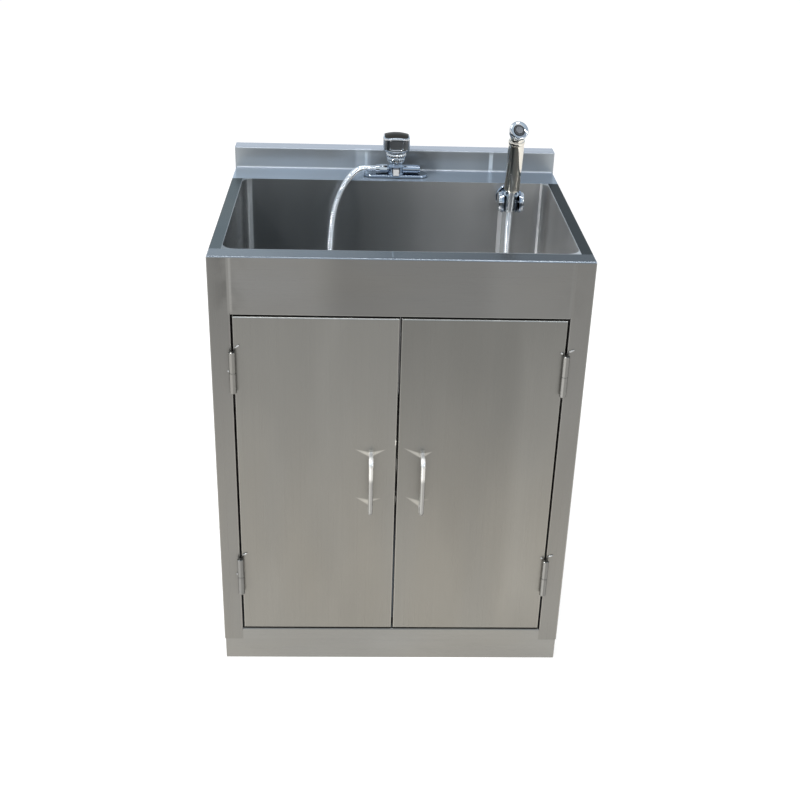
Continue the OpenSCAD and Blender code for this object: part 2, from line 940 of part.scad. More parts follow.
// Inlet tails, each with a run-out groove above its free thread
module tap_tails() {
  r = tail_dia / 2;
  groove_z = -sheet_t - backnut_t - 4;
  color(brass)
  at_tap()
  for (s = [-1, 1])
  translate([s * inlet_span / 2, 0, 0])
  rotate_extrude()
  polygon([
    [tail_bore_dia / 2, -tail_len], [r, -tail_len], [r, groove_z - 1.5], [r - 0.8, groove_z - 1.5],
    [r - 0.8, groove_z], [r, groove_z], [r, gasket_t + tail_in_plate],
    [tail_bore_dia / 2, gasket_t + tail_in_plate]
  ]);
}

module tap_backnuts() {
  color(brass)
  at_tap()
  for (s = [-1, 1])
  translate([s * inlet_span / 2, 0, -sheet_t - backnut_t])
  difference() {
    cylinder(d = backnut_dia, h = backnut_t, $fn = 6);
    translate([0, 0, -1]) cylinder(d = tail_dia + 2 * run, h = backnut_t + 2);
  }
}

module tap_body() {
  r = tap_barrel_dia / 2;
  color(chrome)
  at_tap()
  difference() {
    union() {
      rotate_extrude()
      polygon([
        [0, plate_top], [r + 1, plate_top], [r + 1, plate_top + 1.5], [r - 1, plate_top + 4],
        [r - 1, barrel_top - 4], [neck_dia / 2 + 1, barrel_top], [0, barrel_top]
      ]);
      translate([0, 0, arm_h]) rod_x(arm_dia / 2, arm_len - 4);
      translate([arm_len - 4, 0, arm_h]) rod_x(arm_dia / 2 - 1.5, 4);
      translate([-stub_len, 0, arm_h]) rod_x(arm_dia / 2 - 1, stub_len);
      translate([-stub_len - nipple_len, 0, arm_h]) rod_x(nipple_dia / 2, nipple_len + 1);
      translate([0, -boss_reach, boss_h]) rod_y(boss_dia / 2, boss_reach);
    }
    translate([-stub_len - nipple_len - 1, 0, arm_h]) rod_x(hose_bore / 2, stub_len + nipple_len);
  }
}

module tap_plug() {
  head = 0.75 * boss_dia;
  color(chrome)
  at_tap()
  translate([0, -boss_reach, boss_h]) {
    translate([0, -2.5, 0]) rod_y(boss_dia / 2 + 0.5, 2.5);
    translate([-head / 2, -7, -head / 2]) cube([head, 5, head]);
  }
}

module tap_bonnet() {
  r = bonnet_dia / 2;
  z = barrel_top;
  wall_r = cartridge_dia / 2 + press;
  color(chrome)
  at_tap()
  rotate_extrude()
  polygon([
    [wall_r, z], [neck_dia / 2, z], [neck_dia / 2, z + 2], [r - 4.5, z + 0.28 * bonnet_h],
    [r - 4.5, z + 0.6 * bonnet_h], [r - 1.5, z + 0.64 * bonnet_h], [r, z + 0.7 * bonnet_h],
    [r, bonnet_top - 2], [r - 1.5, bonnet_top], [spindle_dia / 2 + 1, bonnet_top],
    [spindle_dia / 2 + 1, bonnet_top - 5], [wall_r, bonnet_top - 5]
  ]);
}

module tap_cartridge() {
  z = barrel_top;
  color(dark_plastic)
  at_tap()
  rotate_extrude()
  polygon([
    [0, z], [cartridge_dia / 2, z], [cartridge_dia / 2, bonnet_top - 5],
    [spindle_dia / 2 + run, bonnet_top - 5], [spindle_dia / 2 + run, z + 6],
    [spindle_collar_dia / 2 + run, z + 6], [spindle_collar_dia / 2 + run, z + 2], [0, z + 2]
  ]);
}

module tap_spindle() {
  z = barrel_top + 2 + run;
  color(bright_steel)
  at_tap() {
    translate([0, 0, z]) cylinder(d = spindle_collar_dia, h = 4 - 2 * run);
    translate([0, 0, z]) cylinder(d = spindle_dia, h = knob_top - knob_lift - 1 - z);
  }
}

// Knob: a rounded square with a crowned top, a tapered foot, a window sunk in each
// side and a hollow underside round its hub
module tap_knob() {
  crown_r = 90;
  corner_r = 13;
  window = [0.42 * knob_w, 0.5 * knob_h, 2.5];
  foot_r = bonnet_dia / 2 - 0.5;
  hub_r = spindle_dia / 2 + 4;
  color(chrome)
  at_tap()
  difference() {
    intersection() {
      translate([0, 0, knob_z]) linear_extrude(knob_h) plan_rounded(knob_w, knob_w, corner_r);
      translate([0, 0, knob_top - crown_r]) sphere(crown_r, $fn = 128);
      translate([0, 0, knob_z])
      rotate_extrude()
      polygon([[0, 0], [foot_r, 0], [knob_w / 2 + 1, 10], [knob_w, 16], [knob_w, knob_h], [0, knob_h]]);
    }
    for (q = [0:3])
    rotate([0, 0, 90 * q])
    translate([0, window[2] - knob_w / 2, knob_z + 0.53 * knob_h])
    rotate([90, 0, 0])
    linear_extrude(knob_w)
    plan_rounded(window[0], window[1], 5);
    translate([0, 0, knob_z - 1]) cylinder(d = spindle_dia + 2 * run, h = knob_h - 4);
    translate([0, 0, knob_z - 1])
    rotate_extrude()
    translate([hub_r, 0])
    square([foot_r - 3 - hub_r, knob_h - 12]);
  }
}

// Nut and ferrule that join the hose to the tap's left arm
module hose_nut() {
  x0 = stub_len + run;
  x1 = stub_len + nut_len;
  color(chrome)
  at_tap()
  translate([0, 0, arm_h])
  difference() {
    union() {
      translate([-x1, 0, 0]) rotate([0, 90, 0]) cylinder(d = nut_dia, h = x1 - x0, $fn = 12);
      translate([-ferrule_end, 0, 0]) rod_x(ferrule_dia / 2, ferrule_end - x1 + 1);
    }
    translate([-stub_len - nipple_len - 1, 0, 0]) rod_x(nipple_dia / 2 + run, nipple_len + 2);
    translate([-ferrule_end - 1, 0, 0]) rod_x(socket_dia / 2, socket_depth + 1);
    translate([-ferrule_end, 0, 0]) rod_x(hose_bore / 2, ferrule_end - x0);
  }
}

// Ribbed hose: one tube of rings, crests and grooves in turn, round its bore
module shower_hose() {
  bore_rings = [for (i = [0:bore_step:ring_count - 1]) i];
  n = ring_count;
  m = len(bore_rings);
  outer = [for (i = [0:n - 1]) each ring(i, hose_dia / 2 - (i % 2) * rib_depth)];
  inner = [for (i = bore_rings) each ring(i, hose_bore / 2)];
  base = n * sides;
  skin = [
    for (i = [0:n - 2], k = [0:sides - 1])
    let (a = i * sides + k, b = i * sides + (k + 1) % sides)
    each [[a, a + sides, b], [b, a + sides, b + sides]]
  ];
  lining = [
    for (i = [0:m - 2], k = [0:sides - 1])
    let (a = base + i * sides + k, b = base + i * sides + (k + 1) % sides)
    each [[a, b, a + sides], [b, b + sides, a + sides]]
  ];
  ends = [
    for (k = [0:sides - 1])
    let (l = (k + 1) % sides, a = (n - 1) * sides, c = base + (m - 1) * sides)
    each [
      [k, l, base + k], [l, base + l, base + k],
      [a + k, c + k, a + l], [a + l, c + k, c + l]
    ]
  ];
  color(chrome) polyhedron(concat(outer, inner), concat(skin, lining, ends));
}

// Wall bracket of the hand shower
module bracket_yoke() {
  arm_y = web_y + web_t;
  color(chrome)
  difference() {
    union() {
      translate([bracket_x, basin_y1, rim_h + wall_plate_z])
      rotate([90, 0, 0])
      round_disc(wall_plate_dia / 2, wall_plate_t, wall_plate_t / 2);
      translate(pivot) {
        translate([-arm_w / 2, arm_y - 1, -web_h / 2])
        cube([arm_w, pivot_reach - wall_plate_t - arm_y + 2, web_h]);
        translate([-ear_out, web_y, -web_h / 2]) cube([2 * ear_out, web_t, web_h]);
        for (x = [-ear_out, ear_in])
        translate([x, 0, 0]) {
          rod_x(ear_dia / 2, ear_t);
          translate([0, 0, -web_h / 2]) cube([ear_t, web_y + 1, web_h]);
        }
      }
    }
    translate([pivot[0] - 2 * ear_out, pivot[1], pivot[2]]) rod_x(pin_dia / 2 + press, 4 * ear_out);
    for (s = [-1, 1])
    translate([bracket_x + s * wall_screw_x, basin_y1 - 10, rim_h + wall_plate_z])
    rod_y(wall_screw_dia / 2 + 0.2, 20);
  }
}

module bracket_screws() {
  color(bright_steel)
  for (s = [-1, 1])
  translate([bracket_x + s * wall_screw_x, basin_y1 - wall_plate_t, rim_h + wall_plate_z]) {
    translate([0, -2, 0]) rod_y(wall_screw_dia - 0.5, 2);
    rod_y(wall_screw_dia / 2, wall_plate_t + sheet_t + 8);
    translate([0, wall_plate_t + sheet_t, 0]) rod_y(wall_screw_dia, 3);
  }
}

// Round caps on the ears, each with the pivot that the cradle turns on
module bracket_caps() {
  notches = 14;
  pin_x = cradle_dia / 2 - pin_depth;
  color(chrome)
  translate(pivot)
  for (s = [0, 1])
  mirror([s, 0, 0])
  difference() {
    union() {
      translate([ear_out, 0, 0]) rotate([0, 90, 0]) round_disc(cap_dia / 2, cap_t, cap_t / 2);
      translate([pin_x, 0, 0]) rod_x(pin_dia / 2, ear_out - pin_x + 1);
    }
    for (i = [0:notches - 1])
    rotate([360 * i / notches, 0, 0])
    translate([ear_out - 1, 0, cap_dia / 2])
    rod_x(1.4, cap_t + 2);
  }
}

module at_handset() {
  translate(pivot) rotate([shower_lean, 0, 0]) children();
}

function cone_r(z) = cone_r0 + (cone_r1 - cone_r0) * (z + cone_foot) / (handset_foot + cone_foot);

// Cradle: a split cup that the cone of the hand shower drops into
module bracket_cradle() {
  h = cradle_len / 2;
  color(chrome)
  at_handset()
  difference() {
    translate([0, 0, -h]) cylinder(d = cradle_dia, h = cradle_len);
    translate([0, 0, -h - 1])
    cylinder(r1 = cone_r(-h - 1) + seat, r2 = cone_r(h + 1) + seat, h = cradle_len + 2);
    translate([-cradle_slot / 2, -cradle_dia, -h - 1]) cube([cradle_slot, cradle_dia, cradle_len + 2]);
    for (s = [0, 1])
    mirror([s, 0, 0])
    translate([cradle_dia / 2 - pin_depth - 0.2, 0, 0])
    rod_x(pin_dia / 2 + run, pin_depth + 2);
  }
}

// Hand shower
module hose_cone() {
  h = cone_foot + handset_foot;
  color(chrome)
  at_handset()
  translate([0, 0, -cone_foot])
  difference() {
    cylinder(r1 = cone_r0, r2 = cone_r1, h = h);
    translate([0, 0, -1]) cylinder(d = socket_dia, h = socket_depth + 1);
    translate([0, 0, -1]) cylinder(d = waterway, h = h + 2);
  }
}

module handset_body() {
  r = handset_dia / 2;
  inner_r = r - handset_wall;
  bore_r = waterway / 2;
  color(chrome)
  at_handset()
  rotate_extrude()
  polygon([
    [bore_r, handset_foot], [r - 2, handset_foot], [r, handset_foot + 2],
    [r, handset_top - 10], [r - 1, handset_top - 9], [r - 1, handset_top - 7.5],
    [r + 0.5, handset_top - 6.5], [r + 0.5, handset_top - 1], [r - 0.5, handset_top],
    [bore_r, handset_top], [bore_r, handset_top - handset_wall],
    [inner_r, handset_top - handset_wall], [inner_r, handset_foot + handset_wall],
    [bore_r, handset_foot + handset_wall]
  ]);
}

// Places a drawing of the head with its height along the way the spray leaves
module at_face() {
  at_handset() translate([0, 0, head_reach]) rotate([90 - face_tilt, 0, face_turn]) children();
}

// Section of the head: its disc, round back, sunk face and waterway
module head_section(r) {
  difference() {
    union() {
      disc_section(r, face_reach, 3);
      mirror([0, 1]) disc_section(r - back_step, head_back, back_edge);
    }
    translate([-1, face_reach - face_sunk]) square([r - face_rim + 1, face_sunk + 1]);
    translate([-1, 0]) square([waterway / 2 + 2.5, face_reach]);
  }
}

module handset_head() {
  color(chrome)
  difference() {
    union() {
      at_handset() translate([0, 0, handset_top]) cylinder(r = handset_dia / 2 - 1.5, h = head_dia / 2 - 4);
      at_face() rotate_extrude() head_section(head_dia / 2);
    }
    at_handset() translate([0, 0, handset_top - 1]) cylinder(d = waterway, h = head_dia / 2 + 1);
  }
}

module spray_face() {
  r = head_dia / 2 - face_rim - run;
  jets = [[6, 0.3], [12, 0.75]];
  color(dark_plastic)
  at_face()
  translate([0, 0, face_reach - face_sunk + run])
  difference() {
    rotate_extrude() {
      square([r, 2]);
      translate([r / 2, 0]) square([1.5, 3]);
    }
    for (n = jets, i = [0:n[0] - 1])
    rotate([0, 0, 360 * i / n[0]])
    translate([n[1] * r, 0, -1])
    cylinder(r = 0.8, h = 5);
  }
}

// Waste
module at_waste() {
  translate([0, basin_mid_y, basin_floor]) children();
}

module waste_flange() {
  r = waste_flange_dia / 2;
  s = waste_shank_dia / 2;
  color(bright_steel)
  at_waste()
  rotate_extrude()
  polygon([
    [waste_bore_r, -waste_shank_len], [s, -waste_shank_len], [s, 0], [r, 0], [r, 0.8],
    [r - 2, waste_lip_t], [strainer_r + seat, waste_lip_t], [strainer_r + seat, strainer_seat],
    [waste_bore_r, strainer_seat]
  ]);
}

module strainer_plate() {
  z = strainer_seat + 0.1;
  rings = [[6, 0.32], [12, 0.58], [18, 0.84]];
  hole_r = 2.4;
  color(bright_steel)
  at_waste()
  difference() {
    rotate_extrude()
    polygon([
      [0, z], [strainer_r, z], [strainer_r, z + strainer_t], [2.5, z + strainer_t],
      [2.5, z + 5], [6, z + 6], [6, z + 8], [4.5, z + 9], [0, z + 9]
    ]);
    for (n = rings, i = [0:n[0] - 1])
    rotate([0, 0, 360 * i / n[0]])
    translate([n[1] * waste_bore_r + 0.5, 0, 0])
    cylinder(r = hole_r, h = 2 * waste_lip_t);
  }
}

module waste_seal() {
  color(rubber)
  at_waste()
  translate([0, 0, -sheet_t - seal_t])
  difference() {
    cylinder(d = waste_flange_dia - 2, h = seal_t);
    translate([0, 0, -1]) cylinder(d = waste_shank_dia + 2 * run, h = seal_t + 2);
  }
}

module waste_locknut() {
  color(brass)
  at_waste()
  translate([0, 0, -sheet_t - seal_t - locknut_t])
  difference() {
    cylinder(d = waste_flange_dia - 4, h = locknut_t, $fn = 8);
    translate([0, 0, -1]) cylinder(d = waste_shank_dia + 2 * run, h = locknut_t + 2);
  }
}

module waste_tail() {
  foot = trap_outlet_h - trap_drop + 6 - basin_floor;
  z = -waste_shank_len;
  color(white_plastic)
  at_waste()
  rotate_extrude()
  polygon([
    [pipe_r - pipe_wall, foot], [pipe_r, foot], [pipe_r, z - tail_flange_t],
    [waste_shank_dia / 2 - 1, z - tail_flange_t], [waste_shank_dia / 2 - 1, z],
    [pipe_r - pipe_wall, z]
  ]);
}

// Coupling nut under the waste, and the two nuts of the trap
module trap_nuts() {
  z = -waste_shank_len - tail_flange_t;
  s = waste_shank_dia / 2;
  color(white_plastic) {
    at_waste()
    rotate_extrude()
    polygon([
      [pipe_r + run, z - 4], [s + nut_wall, z - 4], [s + nut_wall, z - 4 + coupling_h],
      [s + run, z - 4 + coupling_h], [s + run, z], [pipe_r + run, z]
    ]);
    translate([0, basin_mid_y, trap_outlet_h + trap_rise + trap_collar_h]) small_nut();
    translate([0, basin_mid_y + stub_y, trap_outlet_h]) rotate([-90, 0, 0]) small_nut();
  }
}

module small_nut() {
  difference() {
    cylinder(r = pipe_r + nut_wall + 1, h = small_nut_h, $fn = 12);
    translate([0, 0, -1]) cylinder(r = pipe_r + run, h = small_nut_h + 2);
  }
}

module trap_body() {
  low = trap_outlet_h - trap_drop;
  top = trap_outlet_h + trap_rise;
  collar_r = pipe_r + 4;
  color(white_plastic)
  translate([0, basin_mid_y, 0])
  difference() {
    union() {
      rotate_extrude()
      polygon([
        [0, low], [trap_r, low], [trap_r, top], [collar_r, top + 3],
        [collar_r, top + trap_collar_h], [0, top + trap_collar_h]
      ]);
      translate([0, 0, trap_outlet_h]) rod_y(collar_r, stub_y);
    }
    translate([0, 0, low - 1]) cylinder(r = trap_r - 3, h = trap_drop + trap_rise - 2);
    translate([0, 0, low]) cylinder(r = pipe_r + run, h = 2 * trap_drop + trap_rise);
    translate([0, 0, trap_outlet_h]) rod_y(pipe_r + run, stub_y + 1);
  }
}

module trap_cup() {
  low = trap_outlet_h - trap_drop;
  floor_z = low + cup_lap - cup_h;
  color(white_plastic)
  translate([0, basin_mid_y, 0])
  rotate_extrude()
  polygon([
    [0, floor_z], [trap_r - 6, floor_z], [trap_r + 3, floor_z + 9], [trap_r + 3, low + cup_lap],
    [trap_r + run, low + cup_lap], [trap_r + run, low], [trap_r - 3, low],
    [trap_r - 3, floor_z + 10], [trap_r - 8, floor_z + 3], [0, floor_z + 3]
  ]);
}

// Pipe towards the back, with a bead that stops the drain's sleeve
module outlet_pipe() {
  y0 = basin_mid_y + trap_r + 2;
  length = pipe_end_y - y0;
  color(white_plastic)
  translate([0, y0, trap_outlet_h])
  difference() {
    union() {
      rod_y(pipe_r, length);
      translate([0, length - sleeve_len - 3, 0]) rod_y(pipe_r + 1.5, 3);
    }
    translate([0, -1, 0]) rod_y(pipe_r - pipe_wall, length + 2);
  }
}

plinth_rails();
plinth_sides();
base_tray();
bottom_rail();
left_stile();
right_stile();
front_apron();
left_side_panel();
right_side_panel();
back_panel();
front_rim();
left_rim();
right_rim();
rear_ledge();
backsplash();
basin();
frame_knuckles();
hinge_pins();
door_catch();
tap_gasket();
tap_base_plate();
tap_body();
tap_tails();
tap_backnuts();
tap_plug();
tap_bonnet();
tap_cartridge();
hose_nut();
shower_hose();
bracket_yoke();
bracket_screws();
bracket_caps();
waste_flange();
waste_seal();
waste_locknut();
waste_tail();
trap_nuts();
trap_body();
trap_cup();
outlet_pipe();
left_door_skin();
left_door_liner();
left_handle();
left_handle_screws();
left_strike();
left_door_knuckles();
right_door_skin();
right_door_liner();
right_handle();
right_handle_screws();
right_strike();
right_door_knuckles();
tap_spindle();
tap_knob();
bracket_cradle();
handset_body();
handset_head();
spray_face();
hose_cone();
strainer_plate();
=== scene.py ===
import math

import bmesh
import bpy
from mathutils import Matrix, Vector


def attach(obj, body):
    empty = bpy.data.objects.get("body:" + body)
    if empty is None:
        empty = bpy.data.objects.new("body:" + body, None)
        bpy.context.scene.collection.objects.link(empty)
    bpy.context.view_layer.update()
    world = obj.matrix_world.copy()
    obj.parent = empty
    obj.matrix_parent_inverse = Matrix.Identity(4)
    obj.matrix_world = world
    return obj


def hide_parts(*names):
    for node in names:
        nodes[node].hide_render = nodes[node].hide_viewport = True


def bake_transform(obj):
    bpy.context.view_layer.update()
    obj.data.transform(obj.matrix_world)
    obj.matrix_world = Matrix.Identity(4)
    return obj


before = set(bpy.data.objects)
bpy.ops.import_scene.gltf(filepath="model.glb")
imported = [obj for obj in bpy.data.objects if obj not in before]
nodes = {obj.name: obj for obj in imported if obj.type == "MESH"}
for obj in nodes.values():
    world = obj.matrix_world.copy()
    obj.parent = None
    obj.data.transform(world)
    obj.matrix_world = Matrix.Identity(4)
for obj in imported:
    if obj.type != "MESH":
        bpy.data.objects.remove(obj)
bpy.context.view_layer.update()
print("frame loaded,", len(nodes), "nodes")


cameraSettings = {
    "place": (-0.0810, -2.2557, 1.6325),
    "yaw": 2.426,      # degrees to the right
    "pitch": 27.168,   # degrees down
    "roll": 1.761,
    "focalPixels": 1175.3,
    "imagePixels": 800,
    "sensor": 36.0,
}


def makeCamera(s):
    yaw, pitch, roll = (math.radians(s[k]) for k in ("yaw", "pitch", "roll"))
    level = math.cos(pitch)
    forward = Vector((math.sin(yaw) * level, math.cos(yaw) * level, -math.sin(pitch)))
    right = Vector((math.cos(yaw), -math.sin(yaw), 0))
    up = right.cross(forward)
    turnedRight = math.cos(roll) * right + math.sin(roll) * up
    turnedUp = -math.sin(roll) * right + math.cos(roll) * up
    data = bpy.data.cameras.new("photoCamera")
    data.sensor_width = s["sensor"]
    data.lens = s["focalPixels"] / s["imagePixels"] * s["sensor"]
    camera = bpy.data.objects.new("photoCamera", data)
    bpy.context.scene.collection.objects.link(camera)
    camera.matrix_world = Matrix((
        (turnedRight.x, turnedUp.x, -forward.x, s["place"][0]),
        (turnedRight.y, turnedUp.y, -forward.y, s["place"][1]),
        (turnedRight.z, turnedUp.z, -forward.z, s["place"][2]),
        (0, 0, 0, 1),
    ))
    bpy.context.scene.camera = camera


makeCamera(cameraSettings)

# the middle of the hose, from the tap to the hand shower, in millimetres
hoseRoute = [
    (-40, 235, 916), (-54, 235, 916), (-67, 230, 917), (-79, 218, 917.5), (-90, 203, 914.5),
    (-101, 188, 907), (-112, 175, 894), (-122, 165, 875), (-130, 158, 852), (-135, 153, 827),
    (-138, 150, 800), (-140, 149, 772), (-141, 149, 740), (-142, 149, 708), (-143, 143, 674),
    (-145, 127, 642), (-149, 101, 619), (-155, 66, 609), (-161, 26, 608), (-164, -17, 608),
    (-161, -60, 608), (-149, -102, 608), (-127, -139, 608), (-95, -168, 608), (-55, -187, 608),
    (-10, -196, 608), (37, -196, 608), (82, -189, 608), (125, -172, 608), (163, -145, 608),
    (194, -110, 608), (217, -68, 608), (230, -22, 608), (237, 24, 608), (240, 66, 610),
    (242, 104, 623), (243, 131, 649), (243, 148, 682), (243, 158, 720), (243, 163, 760),
    (243, 165, 800), (243, 161, 830), (243, 158, 845), (243, 155.4, 857),
]

hoseSettings = {
    "diameter": 0.014,
    "ribPitch": 0.0040,
    "ribDepth": 0.0014,
    # a narrow groove and a broad round crest: share of the pitch, share of the depth
    "ribProfile": ((0.0, 1.0), (0.20, 1.0), (0.34, 0.3), (0.60, 0.0), (0.86, 0.3)),
    "sides": 20,
    "stepsPerSpan": 12,
    "reach": 0.004,      # how far ahead and behind the heading is taken
    "splitPoint": 39,    # the route's point where the upper stretch begins
    "bendFrom": 36,      # the lower stretch starts to follow the cradle here
}


def splineThrough(points, stepsPerSpan):
    out = []
    last = len(points) - 1
    for i in range(last):
        b, c = points[i], points[i + 1]
        a = points[i - 1] if i > 0 else 2 * b - c
        d = points[i + 2] if i < last - 1 else 2 * c - b
        for k in range(stepsPerSpan):
            t = k / stepsPerSpan
            out.append((2 * b + (c - a) * t + (2 * a - 5 * b + 4 * c - d) * t * t
                        + (3 * b - a - 3 * c + d) * t ** 3) / 2)
    out.append(points[-1])
    return out


def lengthsAlong(points):
    total = [0.0]
    for a, b in zip(points, points[1:]):
        total.append(total[-1] + (b - a).length)
    return total


def pointAt(points, lengths, s, guess):
    i = guess
    while i < len(lengths) - 2 and lengths[i + 1] < s:
        i += 1
    t = (s - lengths[i]) / max(lengths[i + 1] - lengths[i], 1e-9)
    return points[i].lerp(points[i + 1], min(max(t, 0), 1)), i


def ribbedTube(name, points, s, normal):
    lengths = lengthsAlong(points)
    count = round(lengths[-1] / s["ribPitch"])
    pitch = lengths[-1] / count
    radius, depth, reach = s["diameter"] / 2, s["ribDepth"], s["reach"]
    stations = [((i + share) * pitch, radius - depth * sunk)
                for i in range(count) for share, sunk in s["ribProfile"]]
    stations.append((lengths[-1], radius - depth))
    angles = [2 * math.pi * k / s["sides"] for k in range(s["sides"])]
    bm = bmesh.new()
    rings, guess = [], 0
    for along, r in stations:
        centre, guess = pointAt(points, lengths, along, guess)
        oneSpanBack = max(guess - s["stepsPerSpan"], 0)
        ahead, _ = pointAt(points, lengths, min(along + reach, lengths[-1]), guess)
        behind, _ = pointAt(points, lengths, max(along - reach, 0.0), oneSpanBack)
        heading = (ahead - behind).normalized()
        normal = (normal - normal.dot(heading) * heading).normalized()
        side = heading.cross(normal)
        rings.append([bm.verts.new(centre + r * (math.cos(a) * normal + math.sin(a) * side))
                      for a in angles])
    closeRings(bm, rings)
    return pieceFrom(name, bm), normal


def closeRings(bm, rings, place=Matrix(), partOf=None):
    # joins a row of rings into a solid and puts it in its place
    # partOf gives a face's material index from its row and the face
    count = len(rings[0])
    for i, (low, high) in enumerate(zip(rings, rings[1:])):
        for k in range(count):
            n = (k + 1) % count
            face = bm.faces.new((low[k], low[n], high[n], high[k]))
            if partOf:
                face.material_index = partOf(i, face)
    bm.faces.new(list(reversed(rings[0])))
    last = bm.faces.new(rings[-1])
    if partOf:
        last.material_index = partOf(len(rings) - 1, last)
    bmesh.ops.transform(bm, matrix=place, verts=bm.verts)
    bmesh.ops.recalc_face_normals(bm, faces=bm.faces)


def pieceFrom(name, bm, sharpAngle=40):
    mesh = bpy.data.meshes.new(name)
    bm.to_mesh(mesh)
    bm.free()
    mesh.shade_smooth()
    mesh.set_sharp_from_angle(angle=math.radians(sharpAngle))
    piece = bpy.data.objects.new(name, mesh)
    bpy.context.scene.collection.objects.link(piece)
    return piece


def makeHose(s):
    route = [Vector(p) / 1000 for p in hoseRoute]
    line = splineThrough(route, s["stepsPerSpan"])
    split = s["splitPoint"] * s["stepsPerSpan"]
    lowerLine, upperLine = line[:split + 1], line[split:]
    lower, normal = ribbedTube("hoseLower", lowerLine, s, Vector((0, 0, 1)))
    upper, _ = ribbedTube("hoseUpper", upperLine, s, normal)
    for piece in (lower, upper):
        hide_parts("shower_hose")
    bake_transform(lower)
    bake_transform(upper)
    lengthsAlong(lowerLine)[-1]
    lengthsAlong(upperLine)[-1]
    return lower, upper


hosePieces = makeHose(hoseSettings)
print("camera and hose made")


def setSockets(tree, node, values):
    # each value is another socket or a plain value
    for key, value in values.items():
        if isinstance(value, bpy.types.NodeSocket):
            tree.links.new(value, node.inputs[key])
        else:
            node.inputs[key].default_value = value


def addNode(tree, kind, values=None, **settings):
    node = tree.nodes.new(kind)
    for key, value in settings.items():
        setattr(node, key, value)
    setSockets(tree, node, values or {})
    return node


def mathNode(tree, operation, *operands):
    values = dict(enumerate(operands))
    return addNode(tree, "ShaderNodeMath", values, operation=operation).outputs[0]


def vectorMath(tree, operation, *operands):
    values = dict(enumerate(operands))
    return addNode(tree, "ShaderNodeVectorMath", values, operation=operation).outputs


def coordinate(tree, kind):
    return addNode(tree, "ShaderNodeTexCoord").outputs[kind]


def splitVector(tree, vector):
    return addNode(tree, "ShaderNodeSeparateXYZ", {0: vector}).outputs


def largestPart(tree, vector):
    x, y, z = splitVector(tree, vector)
    return mathNode(tree, "MAXIMUM", mathNode(tree, "MAXIMUM", x, y), z)


def spread(tree, value, low=0.0, high=1.0, start=0.0, end=1.0, kind="LINEAR"):
    # goes from low to high as the value goes from start to end
    values = {"Value": value, "From Min": start, "From Max": end, "To Min": low, "To Max": high}
    return addNode(tree, "ShaderNodeMapRange", values, interpolation_type=kind).outputs["Result"]


def softStep(tree, value, start, end, low=0.0, high=1.0):
    return spread(tree, value, low, high, start, end, "SMOOTHSTEP")


def noise(tree, vector, scale, detail, more=None, dimensions="3D"):
    values = {"Vector": vector, "Scale": scale, "Detail": detail, **(more or {})}
    return addNode(tree, "ShaderNodeTexNoise", values, noise_dimensions=dimensions).outputs["Fac"]


def mixNumbers(tree, factor, low, high):
    values = {"Factor": factor, "A": low, "B": high}
    return addNode(tree, "ShaderNodeMix", values, data_type="FLOAT").outputs["Result"]


def blendColours(tree, factor, low, high):
    # low and high are colours or sockets; 6, 7 and 2 are the mix node's colour sockets
    low, high = ((*c, 1) if isinstance(c, tuple) else c for c in (low, high))
    values = {"Factor": factor, 6: low, 7: high}
    return addNode(tree, "ShaderNodeMix", values, data_type="RGBA").outputs[2]


def scaleColour(tree, colour, factor, low, high):
    # multiplies a colour by low to high as factor goes from 0 to 1
    values = {0: colour, "Scale": spread(tree, factor, low, high)}
    return addNode(tree, "ShaderNodeVectorMath", values, operation="SCALE").outputs[0]


def newGroup(name, inputs, *outputs):
    # an input whose default is a tuple is a vector; all else are numbers
    group = bpy.data.node_groups.new(name, "ShaderNodeTree")
    for label, value in inputs.items():
        kind = "NodeSocketVector" if isinstance(value, tuple) else "NodeSocketFloat"
        socket = group.interface.new_socket(name=label, in_out="INPUT", socket_type=kind)
        socket.default_value = value
    for label in outputs:
        group.interface.new_socket(name=label, in_out="OUTPUT", socket_type="NodeSocketFloat")
    return group, group.nodes.new("NodeGroupInput").outputs, group.nodes.new("NodeGroupOutput")


def makeGrainGroup():
    # fine lines left by the brushing belt; Stretch is small along the lines and large across them
    group, given, result = newGroup("beltGrain", {"Stretch": (6, 6, 900), "Fine": 0.75},
                                    "Lines", "Height")
    place = vectorMath(group, "MULTIPLY", coordinate(group, "Object"), given["Stretch"])[0]
    broad = noise(group, place, scale=0.22, detail=2.0)
    fine = noise(group, place, scale=1.7, detail=3.0)
    both = mixNumbers(group, given["Fine"], broad, fine)
    setSockets(group, result, {"Lines": spread(group, both, start=0.32, end=0.68), "Height": fine})
    return group


def makeCloudGroup():
    # broad soft patches where the sheet was rolled, wiped and handled
    group, given, result = newGroup("handledPatches", {"Scale": 5.0, "Stretch": (1, 1, 1)},
                                    "Patches", "Tint")
    place = vectorMath(group, "MULTIPLY", coordinate(group, "Object"), given["Stretch"])[0]
    clouds = noise(group, place, given["Scale"], 2.0, {"Roughness": 0.45, "Distortion": 0.3})
    tints = noise(group, place, given["Scale"], 1.0, {"W": 3.7}, "4D")
    setSockets(group, result, {"Patches": softStep(group, clouds, start=0.3, end=0.7),
                               "Tint": softStep(group, tints, start=0.35, end=0.65)})
    return group


def makeSpeckGroup():
    # dried drops and fingerprints on plated and moulded parts
    group, given, result = newGroup("driedDrops", {"Scale": 160.0, "Amount": 0.5}, "Drops")
    place = coordinate(group, "Object")
    drops = addNode(group, "ShaderNodeTexVoronoi", {"Vector": place, "Scale": given["Scale"]},
                    feature="F1")
    rim = spread(group, drops.outputs["Distance"], low=1.0, high=0.0, start=0.12, end=0.3)
    smear = noise(group, place, scale=40.0, detail=3.0)
    setSockets(group, result, {"Drops": mixNumbers(group, given["Amount"], smear, rim)})
    return group


